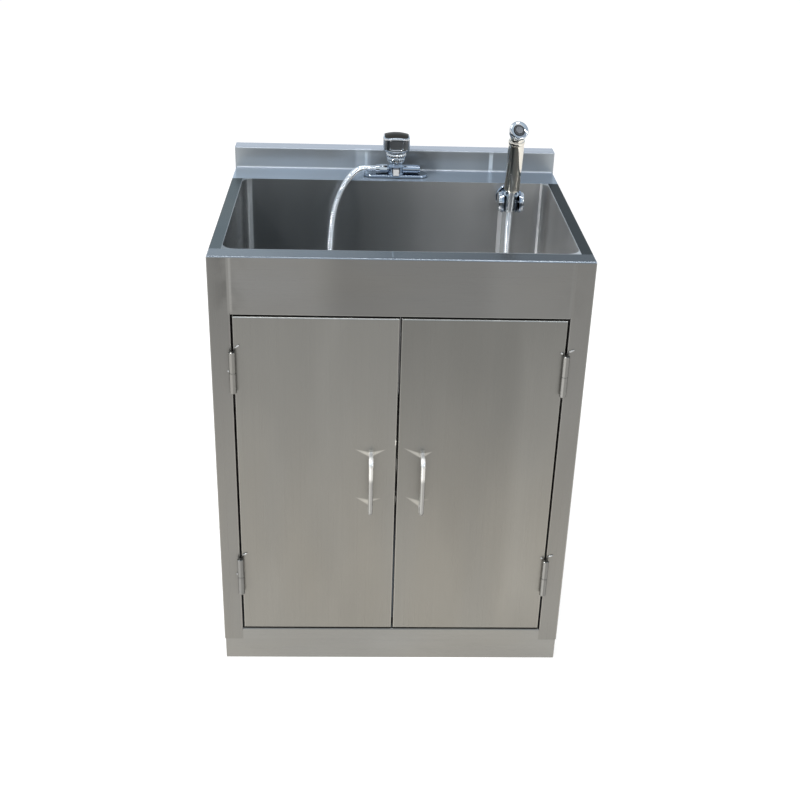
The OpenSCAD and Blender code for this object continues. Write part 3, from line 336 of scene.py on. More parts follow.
def makeFadeGroup():
    # a slow change along one direction of the object, 0 at From and 1 at To
    group, given, result = newGroup("slowFade", {"Direction": (0, 0, 1), "From": 0.0, "To": 1.0},
                                    "Fade")
    along = vectorMath(group, "DOT_PRODUCT", coordinate(group, "Object"), given["Direction"])
    fade = softStep(group, along["Value"], given["From"], given["To"])
    setSockets(group, result, {"Fade": fade})
    return group


def makeBandGroup():
    # an upright seam that was ground flush: a bright band with stained patches beside it
    group, given, result = newGroup(
        "groundSeam", {"Seam X": 0.3, "Half Width": 0.005, "From Z": 0.78}, "Band", "Stain")
    place = coordinate(group, "Object")
    x, _, z = splitVector(group, place)
    away = mathNode(group, "ABSOLUTE", mathNode(group, "SUBTRACT", x, given["Seam X"]))
    share = mathNode(group, "DIVIDE", away, given["Half Width"])
    above = mathNode(group, "SUBTRACT", z, given["From Z"])
    there = softStep(group, above, start=-0.004, end=0.012)
    band = softStep(group, share, start=0.5, end=1.15, low=1.0, high=0.0)
    near = softStep(group, share, start=1.0, end=8.0, low=1.0, high=0.0)
    beside = mathNode(group, "MULTIPLY", near, mathNode(group, "SUBTRACT", 1.0, band))
    spots = softStep(group, noise(group, place, scale=26.0, detail=2.0), start=0.35, end=0.65)
    patchy = mathNode(group, "MULTIPLY", beside, spots)
    setSockets(group, result, {"Band": mathNode(group, "MULTIPLY", band, there),
                               "Stain": mathNode(group, "MULTIPLY", patchy, there)})
    return group


markInputs = {"Foot X": 0.05, "Foot Z": 0.5, "Left Reach": 0.034, "Right Reach": 0.034,
              "Rise": 0.2, "Thick": 0.0035}


def makeWingGroup():
    # two pale painted glints that rise outwards from a welded foot: the reflection of the lit
    # handle leg in the brushed sheet
    thinnest, fading = 0.0004, 0.6
    group, given, result = newGroup("paintedFootGlints", markInputs, "Marks")
    x, _, z = splitVector(group, coordinate(group, "Object"))
    signed = mathNode(group, "SUBTRACT", x, given["Foot X"])
    side = mathNode(group, "ABSOLUTE", signed)
    toTheRight = mathNode(group, "GREATER_THAN", signed, 0.0)
    reach = mixNumbers(group, toTheRight, given["Left Reach"], given["Right Reach"])
    up = mathNode(group, "SUBTRACT", z, given["Foot Z"])
    middle = mathNode(group, "MULTIPLY", side, given["Rise"])
    off = mathNode(group, "ABSOLUTE", mathNode(group, "SUBTRACT", up, middle))
    left = mathNode(group, "SUBTRACT", 1.0, mathNode(group, "DIVIDE", side, reach))
    left = mathNode(group, "MAXIMUM", left, 0.0)
    half = mathNode(group, "ADD", mathNode(group, "MULTIPLY", given["Thick"], left), thinnest)
    share = mathNode(group, "DIVIDE", off, half)
    inside = softStep(group, share, start=0.3, end=1.2, low=1.0, high=0.0)
    marks = mathNode(group, "MULTIPLY", inside, mathNode(group, "POWER", left, fading))
    setSockets(group, result, {"Marks": marks})
    return group


def makePatchGroup():
    # a soft-edged patch inside a box of the object's own space, mostly for painted highlights,
    # reflections and shade, and for a few patches of tone
    group, given, result = newGroup(
        "toneAndLightPatch", {"Centre": (0, 0, 0), "Half Size": (0.01, 0.01, 0.01)}, "Patch")
    away = vectorMath(group, "SUBTRACT", coordinate(group, "Object"), given["Centre"])[0]
    size = vectorMath(group, "ABSOLUTE", away)[0]
    share = largestPart(group, vectorMath(group, "DIVIDE", size, given["Half Size"])[0])
    patch = softStep(group, share, start=0.6, end=1.2, low=1.0, high=0.0)
    setSockets(group, result, {"Patch": patch})
    return group


def makeFoldGroup():
    # rounded folds of the sheet, and those of them that look up
    group, _, result = newGroup("foldedEdges", {}, "Fold", "Upper")
    facing = coordinate(group, "Normal")
    most = largestPart(group, vectorMath(group, "ABSOLUTE", facing)[0])
    fold = softStep(group, mathNode(group, "SUBTRACT", 1.0, most), start=0.01, end=0.08)
    upward = softStep(group, splitVector(group, facing)[2], start=0.1, end=0.45)
    setSockets(group, result, {"Fold": fold, "Upper": mathNode(group, "MULTIPLY", fold, upward)})
    return group


beltGrain = makeGrainGroup()
handledPatches = makeCloudGroup()
driedDrops = makeSpeckGroup()
slowFade = makeFadeGroup()
groundSeam = makeBandGroup()
paintedFootGlints = makeWingGroup()
toneAndLightPatch = makePatchGroup()
foldedEdges = makeFoldGroup()
print("shared effects made")

# how the belt ran: texture stretch, and the tangent that spreads the highlights across its lines
grainAlong = {
    "x": {"stretch": (2.5, 700, 700), "tangent": (0, 0, 1)},
    "z": {"stretch": (700, 700, 2.5), "tangent": (1, 0, 0)},
    "level": {"stretch": (2.5, 2.5, 700), "tangent": (0.25, 0.2, 1)},
    "flatX": {"stretch": (2.5, 700, 700), "tangent": (0, 1, 0)},
    "flatY": {"stretch": (700, 2.5, 700), "tangent": (1, 0, 0)},
    "sideZ": {"stretch": (700, 700, 2.5), "tangent": (0, 1, 0)},
}


def newMaterial(name, colour, metallic, roughness):
    material = bpy.data.materials.new(name)
    material.use_nodes = True
    material.diffuse_color = (*colour, 1)
    tree = material.node_tree
    shader = tree.nodes["Principled BSDF"]
    setSockets(tree, shader, {"Base Color": (*colour, 1), "Metallic": metallic,
                              "Roughness": roughness})
    return material, tree, shader


def placeGroup(tree, group, values=None):
    return addNode(tree, "ShaderNodeGroup", values, node_tree=group).outputs


def bumpFrom(tree, height, strength, distance):
    values = {"Height": height, "Strength": strength, "Distance": distance}
    return addNode(tree, "ShaderNodeBump", values).outputs["Normal"]


def shadesOf(colour, share):
    return tuple(c * (1 - share) for c in colour), tuple(min(c * (1 + share), 1) for c in colour)


steelDefaults = {
    "low": (0.25, 0.25, 0.24),       # colour where the fade is 0
    "high": None,                    # colour where the fade is 1, if it changes
    "fade": ((0, 0, 1), 0.1, 0.8),   # direction, from, to
    "top": None,                     # painted sky light: colour of faces that look up, if it changes
    "topFrom": (0.5, 0.9),           # how far up they look where it starts and where it is full
    "grain": "z",
    "roughness": 0.30,
    "anisotropy": 0.6,
    "metallic": 0.9,
    "edge": 1.0,                     # how bright the metal gets where it is seen at a low angle
    "patches": 0.035,
    "patchScale": 6.0,
    "patchStretch": (1.6, 1.6, 0.5),
    "patchTint": (1.015, 1.0, 0.975),
    "lines": 0.03,
    "bump": 0.08,
    "bumpDistance": 0.0002,
    "roughSpread": 0.035,
    "foldHighlightColour": None,              # painted highlight colour of the rounded folds, if it changes
    "fold": 0.0,                     # or how much lighter their painted highlight makes them
    "upperFold": 0.0,                # and the painted highlight on those that look up
    "seams": (),                     # seam X, half width, from Z, band strength, stain strength
    "marks": (),                     # the values of markInputs for painted glints, then the strength
    "spots": (),                     # centre, half size, how much lighter: mostly painted light and shade
}


def brushedSteel(name, **changes):
    s = {**steelDefaults, **changes}
    material, tree, shader = newMaterial(name, s["low"], s["metallic"], s["roughness"])
    way = grainAlong[s["grain"]]
    lines = placeGroup(tree, beltGrain, {"Stretch": way["stretch"]})
    patches = placeGroup(tree, handledPatches, {"Scale": s["patchScale"],
                                                "Stretch": s["patchStretch"]})
    tinted = tuple(c * t for c, t in zip(s["low"], s["patchTint"]))
    colour = blendColours(tree, patches["Tint"], s["low"], tinted)
    if s["high"]:
        direction, start, end = s["fade"]
        fade = placeGroup(tree, slowFade, {"Direction": direction, "From": start, "To": end})
        colour = blendColours(tree, fade["Fade"], colour, s["high"])
    # faces that look up take a painted sky-lit colour
    if s["top"]:
        upward = splitVector(tree, coordinate(tree, "Normal"))[2]
        colour = blendColours(tree, softStep(tree, upward, *s["topFrom"]), colour, s["top"])
    colour = scaleColour(tree, colour, patches["Patches"], 1 - s["patches"], 1 + s["patches"])
    colour = scaleColour(tree, colour, lines["Lines"], 1 - s["lines"], 1 + s["lines"])
    for x, halfWidth, fromZ, bandStrength, stainStrength in s["seams"]:
        seam = placeGroup(tree, groundSeam, {"Seam X": x, "Half Width": halfWidth,
                                             "From Z": fromZ})
        colour = scaleColour(tree, colour, seam["Band"], 1.0, 1 + bandStrength)
        colour = scaleColour(tree, colour, seam["Stain"], 1.0, 1 - stainStrength)
    # painted glints beside the welded feet
    for *values, strength in s["marks"]:
        mark = placeGroup(tree, paintedFootGlints, dict(zip(markInputs, values)))
        colour = scaleColour(tree, colour, mark["Marks"], 1.0, 1 + strength)
    # painted highlights on the rounded folds, stronger on those that look up
    if s["fold"] or s["upperFold"] or s["foldHighlightColour"]:
        folds = placeGroup(tree, foldedEdges)
        if s["foldHighlightColour"]:
            colour = blendColours(tree, folds["Fold"], colour, s["foldHighlightColour"])
        colour = scaleColour(tree, colour, folds["Fold"], 1.0, 1 + s["fold"])
        colour = scaleColour(tree, colour, folds["Upper"], 1.0, 1 + s["upperFold"])
    # boxed patches of painted highlight, reflection and shade, and of tone
    for centre, half, strength in s["spots"]:
        spot = placeGroup(tree, toneAndLightPatch, {"Centre": centre, "Half Size": half})
        colour = scaleColour(tree, colour, spot["Patch"], 1.0, 1 + strength)
    along = addNode(tree, "ShaderNodeCombineXYZ", dict(zip("XYZ", way["tangent"])))
    turned = addNode(tree, "ShaderNodeVectorTransform", {0: along.outputs[0]},
                     vector_type="VECTOR", convert_from="OBJECT", convert_to="WORLD")
    smoothest, roughest = s["roughness"] - s["roughSpread"], s["roughness"] + s["roughSpread"]
    setSockets(tree, shader, {
        "Base Color": colour,
        "Roughness": spread(tree, lines["Lines"], smoothest, roughest),
        "Anisotropic": s["anisotropy"],
        "Specular Tint": (s["edge"], s["edge"], s["edge"], 1),
        "Normal": bumpFrom(tree, lines["Height"], s["bump"], s["bumpDistance"]),
        "Tangent": turned.outputs[0],
    })
    return material


def platedMetal(name, colour, roughness, drops=0.05, metallic=1.0, scale=160.0, specular=0.5):
    material, tree, shader = newMaterial(name, colour, metallic, roughness)
    marks = placeGroup(tree, driedDrops, {"Scale": scale, "Amount": 0.35})["Drops"]
    dark, light = shadesOf(colour, 0.05)
    setSockets(tree, shader, {
        "Base Color": blendColours(tree, marks, light, dark),
        "Roughness": spread(tree, marks, roughness, roughness + drops),
        "Specular IOR Level": specular,
    })
    return material


def mouldedMaterial(name, colour, roughness, grainSize=900.0, bumpStrength=0.15, disc=None):
    # disc is the middle and radius of the part of a round face that keeps its full colour
    material, tree, shader = newMaterial(name, colour, 0.0, roughness)
    patches = placeGroup(tree, handledPatches, {"Scale": 30.0})["Patches"]
    shade = blendColours(tree, patches, *shadesOf(colour, 0.08))
    place = coordinate(tree, "Object")
    if disc:
        middle, radius = disc
        softness, darkest = 0.0006, 0.25
        away = vectorMath(tree, "DISTANCE", place, middle)["Value"]
        ring = softStep(tree, away, radius - softness, radius + softness)
        shade = scaleColour(tree, shade, ring, 1.0, darkest)
    grain = noise(tree, place, scale=grainSize, detail=2.0)
    setSockets(tree, shader, {
        "Base Color": shade,
        "Roughness": spread(tree, grain, roughness - 0.05, roughness + 0.08),
        "Normal": bumpFrom(tree, grain, bumpStrength, distance=0.0003),
    })
    return material


# the doors' colour low down, painted lighter and warmer for the floor they reflect
doorLow = (0.245, 0.234, 0.208)
seamX = 0.311
seamBand = (0.005, 0.787)            # half width, from Z
lyingPatches = (0.7, 1, 1.4)
# flat tops: fold gives their rounded edges a painted highlight
flatTop = {"roughness": 0.26, "roughSpread": 0.008, "lines": 0.006, "bump": 0.01, "patches": 0.03,
           "fold": 0.25}


# the doors: painted lighter low down and darker up high for the floor they reflect, with painted
# highlights on their folds
def doorFinish(name, high, marks, spots):
    return brushedSteel(name, low=doorLow, high=high, fade=((0, 0, 1), 0.08, 0.80), marks=marks,
                        spots=spots, fold=0.5, upperFold=1.1)


finishes = {
    # left door: painted lighter up high than the right door; painted glints beside the handle feet,
    # a painted glint in the door gap and a painted highlight above the upper foot
    "leftDoor": doorFinish("leftDoorSteel", (0.186, 0.183, 0.170),
                           ((-0.0515, 0.4975, 0.030, 0.030, 0.40, 0.0060, 1.4),
                            (-0.0505, 0.388, 0.029, 0.001, 0.44, 0.0078, 1.1),
                            (-0.0505, 0.394, 0.001, 0.021, 0.22, 0.0038, 1.0)),
                           (((-0.0022, -0.281, 0.5245), (0.0020, 0.006, 0.0065), 1.6),
                            ((-0.0505, -0.281, 0.504), (0.0045, 0.006, 0.0050), 0.5))),
    # right door: painted glints beside the handle feet, a lighter patch near the hinges and a
    # painted highlight above the upper foot
    "rightDoor": doorFinish("rightDoorSteel", (0.146, 0.144, 0.134),
                            ((0.0480, 0.4955, 0.036, 0.021, 0.50, 0.0060, 1.4),
                             (0.0490, 0.386, 0.030, 0.001, 0.56, 0.0080, 1.1),
                             (0.0490, 0.394, 0.001, 0.017, 0.20, 0.0030, 0.6)),
                            (((0.290, -0.281, 0.45), (0.07, 0.02, 0.34), 0.14),
                             ((0.0495, -0.281, 0.504), (0.0045, 0.006, 0.0050), 0.5))),
    # stiles: painted lighter low down and darker up high like the doors, with a painted highlight
    # on their folds
    "post": brushedSteel("postSteel", low=(0.225, 0.218, 0.200), high=(0.158, 0.156, 0.148),
                         fade=((0, 0, 1), 0.1, 0.9), fold=0.35,
                         seams=((-seamX, *seamBand, 0.30, 0.22), (seamX, *seamBand, 0.04, 0.05))),
    # apron: a painted highlight on its folds, and two lighter patches
    "apron": brushedSteel("apronSteel", low=(0.152, 0.151, 0.145), grain="x", fold=0.7,
                          patchStretch=lyingPatches,
                          spots=(((-0.24, -0.28, 0.84), (0.12, 0.02, 0.1), 0.25),
                                 ((0.25, -0.28, 0.84), (0.10, 0.02, 0.1), 0.12)),
                          seams=((-seamX, *seamBand, 0.30, 0.14), (seamX, *seamBand, 0.04, 0.05))),
    "rail": brushedSteel("railSteel", low=(0.265, 0.259, 0.240), grain="x",
                         patchStretch=lyingPatches),
    "side": brushedSteel("sideSteel", low=(0.23, 0.226, 0.210), grain="sideZ"),
    # front rim: painted bluish for the sky it reflects, darkening towards the right as painted
    # shade, with a painted highlight along its front fold and a bright weld tick
    "frontRim": brushedSteel("rimSteel", low=(0.262, 0.286, 0.308), high=(0.063, 0.072, 0.080),
                             fade=((1, 0, 0), -0.42, 0.23), grain="flatX",
                             spots=(((-0.0174, -0.256, 0.9), (0.0016, 0.017, 0.004), 0.8),
                                    ((0.27, -0.2785, 0.896), (0.17, 0.003, 0.01), 0.32)),
                             **{**flatTop, "fold": 0.0, "foldHighlightColour": (0.345, 0.375, 0.405)}),
    # left rim: painted bluish for the sky it reflects
    "leftRim": brushedSteel("leftRimSteel", low=(0.258, 0.283, 0.288), grain="flatY", edge=0.35,
                            **flatTop),
    # right rim: painted much darker than the left rim as painted shade, with a strong painted
    # highlight on its folds
    "rightRim": brushedSteel("rightRimSteel", low=(0.115, 0.123, 0.126), grain="flatY", edge=0.35,
                             **{**flatTop, "fold": 2.5}),
    # ledge: painted blue for the sky it reflects, lighter at the left and darker at the right
    "ledge": brushedSteel("ledgeSteel", low=(0.428, 0.508, 0.600), high=(0.272, 0.330, 0.400),
                          fade=((1, 0, 0), -0.35, 0.3), grain="flatX", metallic=0.55, **flatTop),
    # backsplash: front face painted bluish for the ledge and sky it reflects, the rear in plain
    # steel, upper faces painted sky-lit; spots are painted reflections of the hose beside the tap,
    # the tap's painted shadow, a darker patch further right and a painted reflection of the hand
    # shower
    "splash": brushedSteel("splashSteel", low=(0.362, 0.398, 0.428), high=(0.25, 0.247, 0.235),
                           fade=((0, 1, 0), 0.300, 0.312), top=(0.425, 0.462, 0.530),
                           grain="z", metallic=0.45,
                           spots=(((-0.071, 0.28, 0.925), (0.017, 0.01, 0.020), 0.5),
                                  ((-0.064, 0.28, 0.922), (0.0032, 0.01, 0.018), 0.45),
                                  ((0.046, 0.28, 0.92), (0.054, 0.01, 0.026), -0.30),
                                  ((0.262, 0.28, 0.92), (0.085, 0.01, 0.03), -0.13),
                                  ((0.2105, 0.28, 0.922), (0.0045, 0.01, 0.02), 1.6)), **flatTop),
    # basin: painted shade on the left fading to painted light on the right; spots are a painted
    # reflection of the hose on the back wall, painted highlight lines in both rear corners, and
    # lighter patches on the back wall and the left wall
    "basin": brushedSteel("basinSteel", low=(0.262, 0.275, 0.283), high=(0.585, 0.578, 0.567),
                          fade=((1, 0, 0), -0.12, 0.2), grain="level", roughness=0.30,
                          roughSpread=0.01, lines=0.012, bump=0.02, anisotropy=0.75, metallic=0.85,
                          patches=0.06,
                          spots=(((0.2275, 0.195, 0.79), (0.0042, 0.01, 0.058), 3.2),
                                 ((0.3122, 0.188, 0.78), (0.0022, 0.01, 0.13), 5.0),
                                 ((0.280, 0.195, 0.78), (0.022, 0.01, 0.13), 0.18),
                                 ((-0.312, 0.188, 0.78), (0.005, 0.02, 0.13), 1.6),
                                 ((-0.326, 0.0, 0.75), (0.008, 0.17, 0.16), 0.6))),
    "inside": brushedSteel("insideSteel", low=(0.34, 0.34, 0.33), grain="level", roughness=0.38),
    # hinge barrels: a painted highlight down the left side of each
    "knuckle": brushedSteel("knuckleSteel", low=(0.178, 0.175, 0.165), roughness=0.28,
                            spots=(((-0.3125, -0.29, 0.444), (0.0032, 0.02, 0.4), 0.45),
                                   ((0.3062, -0.29, 0.444), (0.0024, 0.02, 0.4), 0.75))),
    # hand shower chrome: tinted warm as a painted reflection of warm surroundings
    "handsetChrome": platedMetal("handsetChrome", (0.70, 0.67, 0.60), roughness=0.05),
    # tap chrome: painted dark and bluish as a painted reflection of dark surroundings
    "tapChrome": platedMetal("tapChrome", (0.36, 0.41, 0.48), roughness=0.04),
    "weld": platedMetal("weldBeads", (0.46, 0.46, 0.45), roughness=0.30, drops=0.10, metallic=0.7),
    # handles: the legs near the door painted white as a painted highlight, with painted highlights
    # at the upper bends and down the left of each bar
    "handle": brushedSteel("handleSteel", low=(0.31, 0.308, 0.298), high=(0.96, 0.96, 0.96),
                           fade=((0, 1, 0), -0.318, -0.310), roughness=0.18, roughSpread=0.02,
                           metallic=0.6, anisotropy=0.3, bump=0.03,
                           spots=(((-0.05, -0.318, 0.484), (0.01, 0.02, 0.024), 1.2),
                                  ((0.05, -0.318, 0.484), (0.01, 0.02, 0.024), 1.2),
                                  ((-0.0528, -0.32, 0.43), (0.0022, 0.02, 0.09), 0.45),
                                  ((0.0472, -0.32, 0.43), (0.0022, 0.02, 0.09), 0.45))),
    "plug": brushedSteel("plugSteel", low=(0.12, 0.13, 0.15), high=(0.95, 0.95, 0.95),
                         fade=((0, -1, 0), -0.2110, -0.2102), grain="x", roughness=0.30,
                         roughSpread=0.02, metallic=0.1, anisotropy=0.2, bump=0.02),
    "bright": platedMetal("drawnSteel", (0.50, 0.50, 0.48), roughness=0.16, drops=0.08),
    "chrome": platedMetal("chromePlate", (0.62, 0.64, 0.66), roughness=0.04),
    "darkChrome": platedMetal("smokedPlate", (0.045, 0.042, 0.038), roughness=0.10,
                              metallic=0.6),
    # the knob's crown painted near black as a painted reflection of dark surroundings
    "paintedDarkCrown": platedMetal("paintedDarkCrown", (0.030, 0.028, 0.024), roughness=0.25, drops=0.10,
                           metallic=0.0, specular=0.02),
    # the knob's window floors: chrome painted darker as painted shade in the recess
    "shadedWindowFloor": platedMetal("shadedWindowFloor", (0.30, 0.315, 0.33), roughness=0.10,
                               metallic=0.8),
    "hose": platedMetal("hoseChrome", (0.90, 0.91, 0.92), roughness=0.08, metallic=0.93,
                        scale=90.0),
    "brass": platedMetal("machinedBrass", (0.55, 0.40, 0.16), roughness=0.22, drops=0.12),
    "rubber": mouldedMaterial("blackRubber", (0.025, 0.025, 0.026), 0.6, bumpStrength=0.3),
    "greyPlastic": mouldedMaterial("darkPlastic", (0.06, 0.064, 0.07), 0.42),
    "nozzlePlastic": mouldedMaterial("nozzlePlastic", (0.23, 0.25, 0.28), 0.38,
                                     disc=((0.2451, 0.1108, 1.0360), 0.0074)),
    "whitePlastic": mouldedMaterial("whitePlastic", (0.72, 0.72, 0.70), 0.3, grainSize=500.0),
}

nodesOfFinish = {
    "rail": "plinth_rails plinth_sides bottom_rail",
    "inside": "base_tray left_door_liner right_door_liner",
    "post": "left_stile right_stile",
    "apron": "front_apron",
    "side": "left_side_panel right_side_panel back_panel",
    "frontRim": "front_rim",
    "leftRim": "left_rim",
    "rightRim": "right_rim",
    "ledge": "rear_ledge",
    "splash": "backsplash",
    "basin": "basin",
    "leftDoor": "left_door_skin",
    "rightDoor": "right_door_skin",
    "knuckle": "frame_knuckles left_door_knuckles right_door_knuckles",
    "handle": "left_handle right_handle",
    "bright": "hinge_pins bracket_screws waste_flange left_handle_screws left_strike "
              "right_handle_screws right_strike tap_spindle strainer_plate",
    "tapChrome": "tap_base_plate tap_body bracket_yoke",
    "plug": "tap_plug",
    "chrome": "tap_bonnet hose_nut bracket_caps tap_knob bracket_cradle handset_body "
              "handset_head hose_cone",
    "hose": "shower_hose",
    "brass": "tap_tails tap_backnuts waste_locknut",
    "rubber": "tap_gasket waste_seal",
    "greyPlastic": "door_catch tap_cartridge",
    "nozzlePlastic": "spray_face",
    "whitePlastic": "waste_tail trap_nuts trap_body trap_cup outlet_pipe",
}


def finishPiece(piece, *names):
    # one finish for each material index of the piece; clearing the slots would lose the indices
    slots = piece.data.materials
    for i, name in enumerate(names):
        if i < len(slots):
            slots[i] = finishes[name]
        else:
            slots.append(finishes[name])


for finish, names in nodesOfFinish.items():
    for name in names.split():
        finishPiece(nodes[name], finish)
for piece in hosePieces:
    finishPiece(piece, "hose")
print("materials placed")


tapSettings = {
    "place": (0.0, 0.235, 0.900),     # middle of the tap, on the ledge
    "flutes": 22,
    "bonnet": [                       # radius, height above the ledge, flute depth, in millimetres
        (13.2, 26.5, 0), (13.6, 28.4, 0), (15.8, 30.6, 0), (17.3, 32.4, 0), (18.2, 33.4, 0.9),
        (18.8, 36.4, 1.3), (18.8, 38.6, 0.9), (17.2, 39.6, 0), (17.0, 40.3, 0), (18.6, 41.2, 0),
        (20.6, 42.6, 0.9), (21.9, 44.8, 1.4), (22.0, 47.6, 1.4), (21.4, 49.8, 0.9), (20.2, 51.4, 0),
        (18.0, 52.4, 0), (5.6, 52.5, 0),
    ],
}

knobSettings = {
    "place": (0.0, 0.235, 0.9535),    # middle of its foot
    "halfWidth": 28.5,
    "corner": 13.0,
    "height": 40.0,
    "foot": [                         # height, half width, corner radius
        (0.0, 21.5, 21.5), (0.8, 22.6, 21.5), (2.5, 24.6, 20.4), (4.5, 26.4, 18.4),
        (6.5, 27.6, 16.2), (8.5, 28.3, 14.4),
    ],
    "sideFrom": 9.5,
    "sideStep": 0.75,
    "sideRows": 29,
    "shoulder": [(32.0, 0.0), (33.2, 0.2)],    # height, how much narrower
    "domeRadius": 90.0,
    "crown": [                        # share of the width, how far below the dome
        (0.985, 0.55), (0.96, 0.12), (0.92, 0.0), (0.90, 0.3), (0.88, 0.7), (0.75, 0.6),
        (0.55, 0.6), (0.35, 0.6), (0.15, 0.6),
    ],
    "darkCrownRow": 3,                      # row of the crown where the painted dark reflection begins
    "window": (14.5, 11.0, 5.0),      # half width, half height, corner radius
    "windowMiddle": 20.5,
    "windowDepth": 2.6,
    "windowEdge": 1.2,                # width of its slope
    "shadeSlack": (0.3, 1.0),         # how far short of its depth and height the painted shade of the window floor ends
}

handsetSettings = {
    "pivot": (0.243, 0.152, 0.873),
    "lean": 12.0,                     # degrees forwards
    "faceAt": 160.0,                  # middle of the head along the handle, in millimetres
    "faceTilt": 50.0,
    "faceTurn": 18.0,
    "body": [
        (8.0, 28.0, 0), (14.6, 28.0, 0), (15.8, 28.8, 0), (16.4, 30.6, 0), (16.5, 34.0, 0),
        (16.5, 122.0, 0), (16.3, 130.0, 0), (15.7, 133.2, 0), (15.5, 134.6, 0), (16.2, 135.2, 0),
        (17.0, 136.4, 0), (17.0, 141.5, 0), (16.4, 142.8, 0), (15.2, 143.4, 0), (14.6, 146.0, 0),
        (14.4, 154.0, 0), (8.0, 156.0, 0),
    ],
    "head": [                         # radius, height towards the spray, material
        (6.0, -11.8, 0), (9.5, -11.0, 0), (13.4, -9.0, 0), (16.6, -5.6, 0), (18.4, -1.8, 0),
        (19.5, 2.0, 0), (20.0, 6.0, 0), (20.0, 9.0, 0), (19.6, 11.2, 0), (18.6, 12.6, 0),
        (17.4, 13.0, 0), (16.4, 12.8, 0), (14.6, 12.0, 0), (12.9, 11.2, 0), (11.8, 10.6, 0),
        (11.1, 9.8, 1), (11.0, 9.45, 1), (7.0, 9.45, 1),
    ],
}


def turnedPiece(name, profile, place, sides=96, flutes=0, last="depth"):
    # turns a profile about Z; its third value is a flute depth, or a material index
    bm = bmesh.new()
    rings = []
    for radius, height, extra in profile:
        depth = extra if last == "depth" else 0
        ring = []
        for k in range(sides):
            angle = 2 * math.pi * k / sides
            r = (radius - depth * (0.5 + 0.5 * math.cos(flutes * angle))) / 1000
            ring.append(bm.verts.new((r * math.cos(angle), r * math.sin(angle), height / 1000)))
        rings.append(ring)

    def partOf(i, _):
        return profile[min(i + 1, len(profile) - 1)][2]

    closeRings(bm, rings, place, partOf if last == "material" else None)
    return pieceFrom(name, bm, sharpAngle=30)


def squareRing(half, corner, flatSteps=36, cornerSteps=8):
    # points of a square with round corners, with the same count whatever its size
    points = []
    straight = half - corner
    for q in range(4):
        turn = math.radians(90 * q)
        side = [(half, straight * (2 * i / flatSteps - 1)) for i in range(flatSteps)]
        for i in range(cornerSteps):
            angle = math.radians(90) * i / cornerSteps
            side.append((straight + corner * math.cos(angle), straight + corner * math.sin(angle)))
        points += [(x * math.cos(turn) - y * math.sin(turn),
                    x * math.sin(turn) + y * math.cos(turn), q) for x, y in side]
    return points


def windowDepthAt(s, across, height):
    halfX, halfZ, corner = s["window"]
    dx = max(abs(across) - halfX + corner, 0)
    dz = max(abs(height - s["windowMiddle"]) - halfZ + corner, 0)
    inside = min(max((corner - math.hypot(dx, dz)) / s["windowEdge"], 0), 1)
    return s["windowDepth"] * inside * inside * (3 - 2 * inside)


def makeKnob(s):
    half, corner = s["halfWidth"], s["corner"]
    levels = s["foot"] + [(s["sideFrom"] + s["sideStep"] * i, half, corner)
                          for i in range(s["sideRows"])]
    levels += [(height, half - inset, corner) for height, inset in s["shoulder"]]
    bm = bmesh.new()
    rings = []
    for height, levelHalf, levelCorner in levels:
        ring = []
        for x, y, q in squareRing(levelHalf, levelCorner):
            turn = math.radians(90 * q)
            across = -x * math.sin(turn) + y * math.cos(turn)
            depth = windowDepthAt(s, across, height)
            ring.append(bm.verts.new((x - depth * math.cos(turn), y - depth * math.sin(turn),
                                      height)))
        rings.append(ring)
    dome = s["domeRadius"]
    for share, drop in s["crown"]:
        ring = []
        for x, y, _ in squareRing(levels[-1][1], corner):
            x, y = x * share, y * share
            height = s["height"] - dome + math.sqrt(dome ** 2 - x * x - y * y) - drop
            ring.append(bm.verts.new((x, y, height)))
        rings.append(ring)
    depthSlack, heightSlack = s["shadeSlack"]

    def partOf(i, face):
        # 1 where the crown is painted dark for its reflection, 2 where a window's floor is painted
        # in shade
        if i >= len(levels):
            return 1 if i >= len(levels) + s["darkCrownRow"] else 0
        middle = face.calc_center_median()
        deep = half - max(abs(middle.x), abs(middle.y)) > s["windowDepth"] - depthSlack
        withinHeight = abs(middle.z - s["windowMiddle"]) < s["window"][1] - heightSlack
        return 2 if deep and withinHeight else 0

    closeRings(bm, rings, Matrix.Translation(s["place"]) @ Matrix.Scale(0.001, 4), partOf)
    knob = pieceFrom("knobCasting", bm, sharpAngle=35)
    finishPiece(knob, "chrome", "paintedDarkCrown", "shadedWindowFloor")
    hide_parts("tap_knob")
    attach(knob, "tap_knob_body")


def makeBonnet(s):
    bonnet = turnedPiece("flutedBonnet", s["bonnet"], Matrix.Translation(s["place"]),
                         sides=8 * s["flutes"], flutes=s["flutes"])
    finishPiece(bonnet, "chrome")
    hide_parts("tap_bonnet")
    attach(bonnet, "cabinet")


def makeHandset(s):
    lean = Matrix.Translation(s["pivot"]) @ Matrix.Rotation(math.radians(s["lean"]), 4, "X")
    towardsFace = (lean @ Matrix.Translation((0, 0, s["faceAt"] / 1000))
                   @ Matrix.Rotation(math.radians(s["faceTurn"]), 4, "Z")
                   @ Matrix.Rotation(math.radians(90 - s["faceTilt"]), 4, "X"))
    body = turnedPiece("handsetGrip", s["body"], lean)
    head = turnedPiece("handsetBezel", s["head"], towardsFace, last="material")
    for piece, node, names in ((body, "handset_body", ("handsetChrome",)),
                               (head, "handset_head", ("chrome", "darkChrome"))):
        finishPiece(piece, *names)
        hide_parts(node)
        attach(piece, "handset")


seamWeldSettings = {
    "front": -0.280,
    "radius": 0.003,
    "cornerSteps": 8,
    "heights": {"Upper": (0.7895, 0.897), "Lower": (0.050, 0.0745)},
}


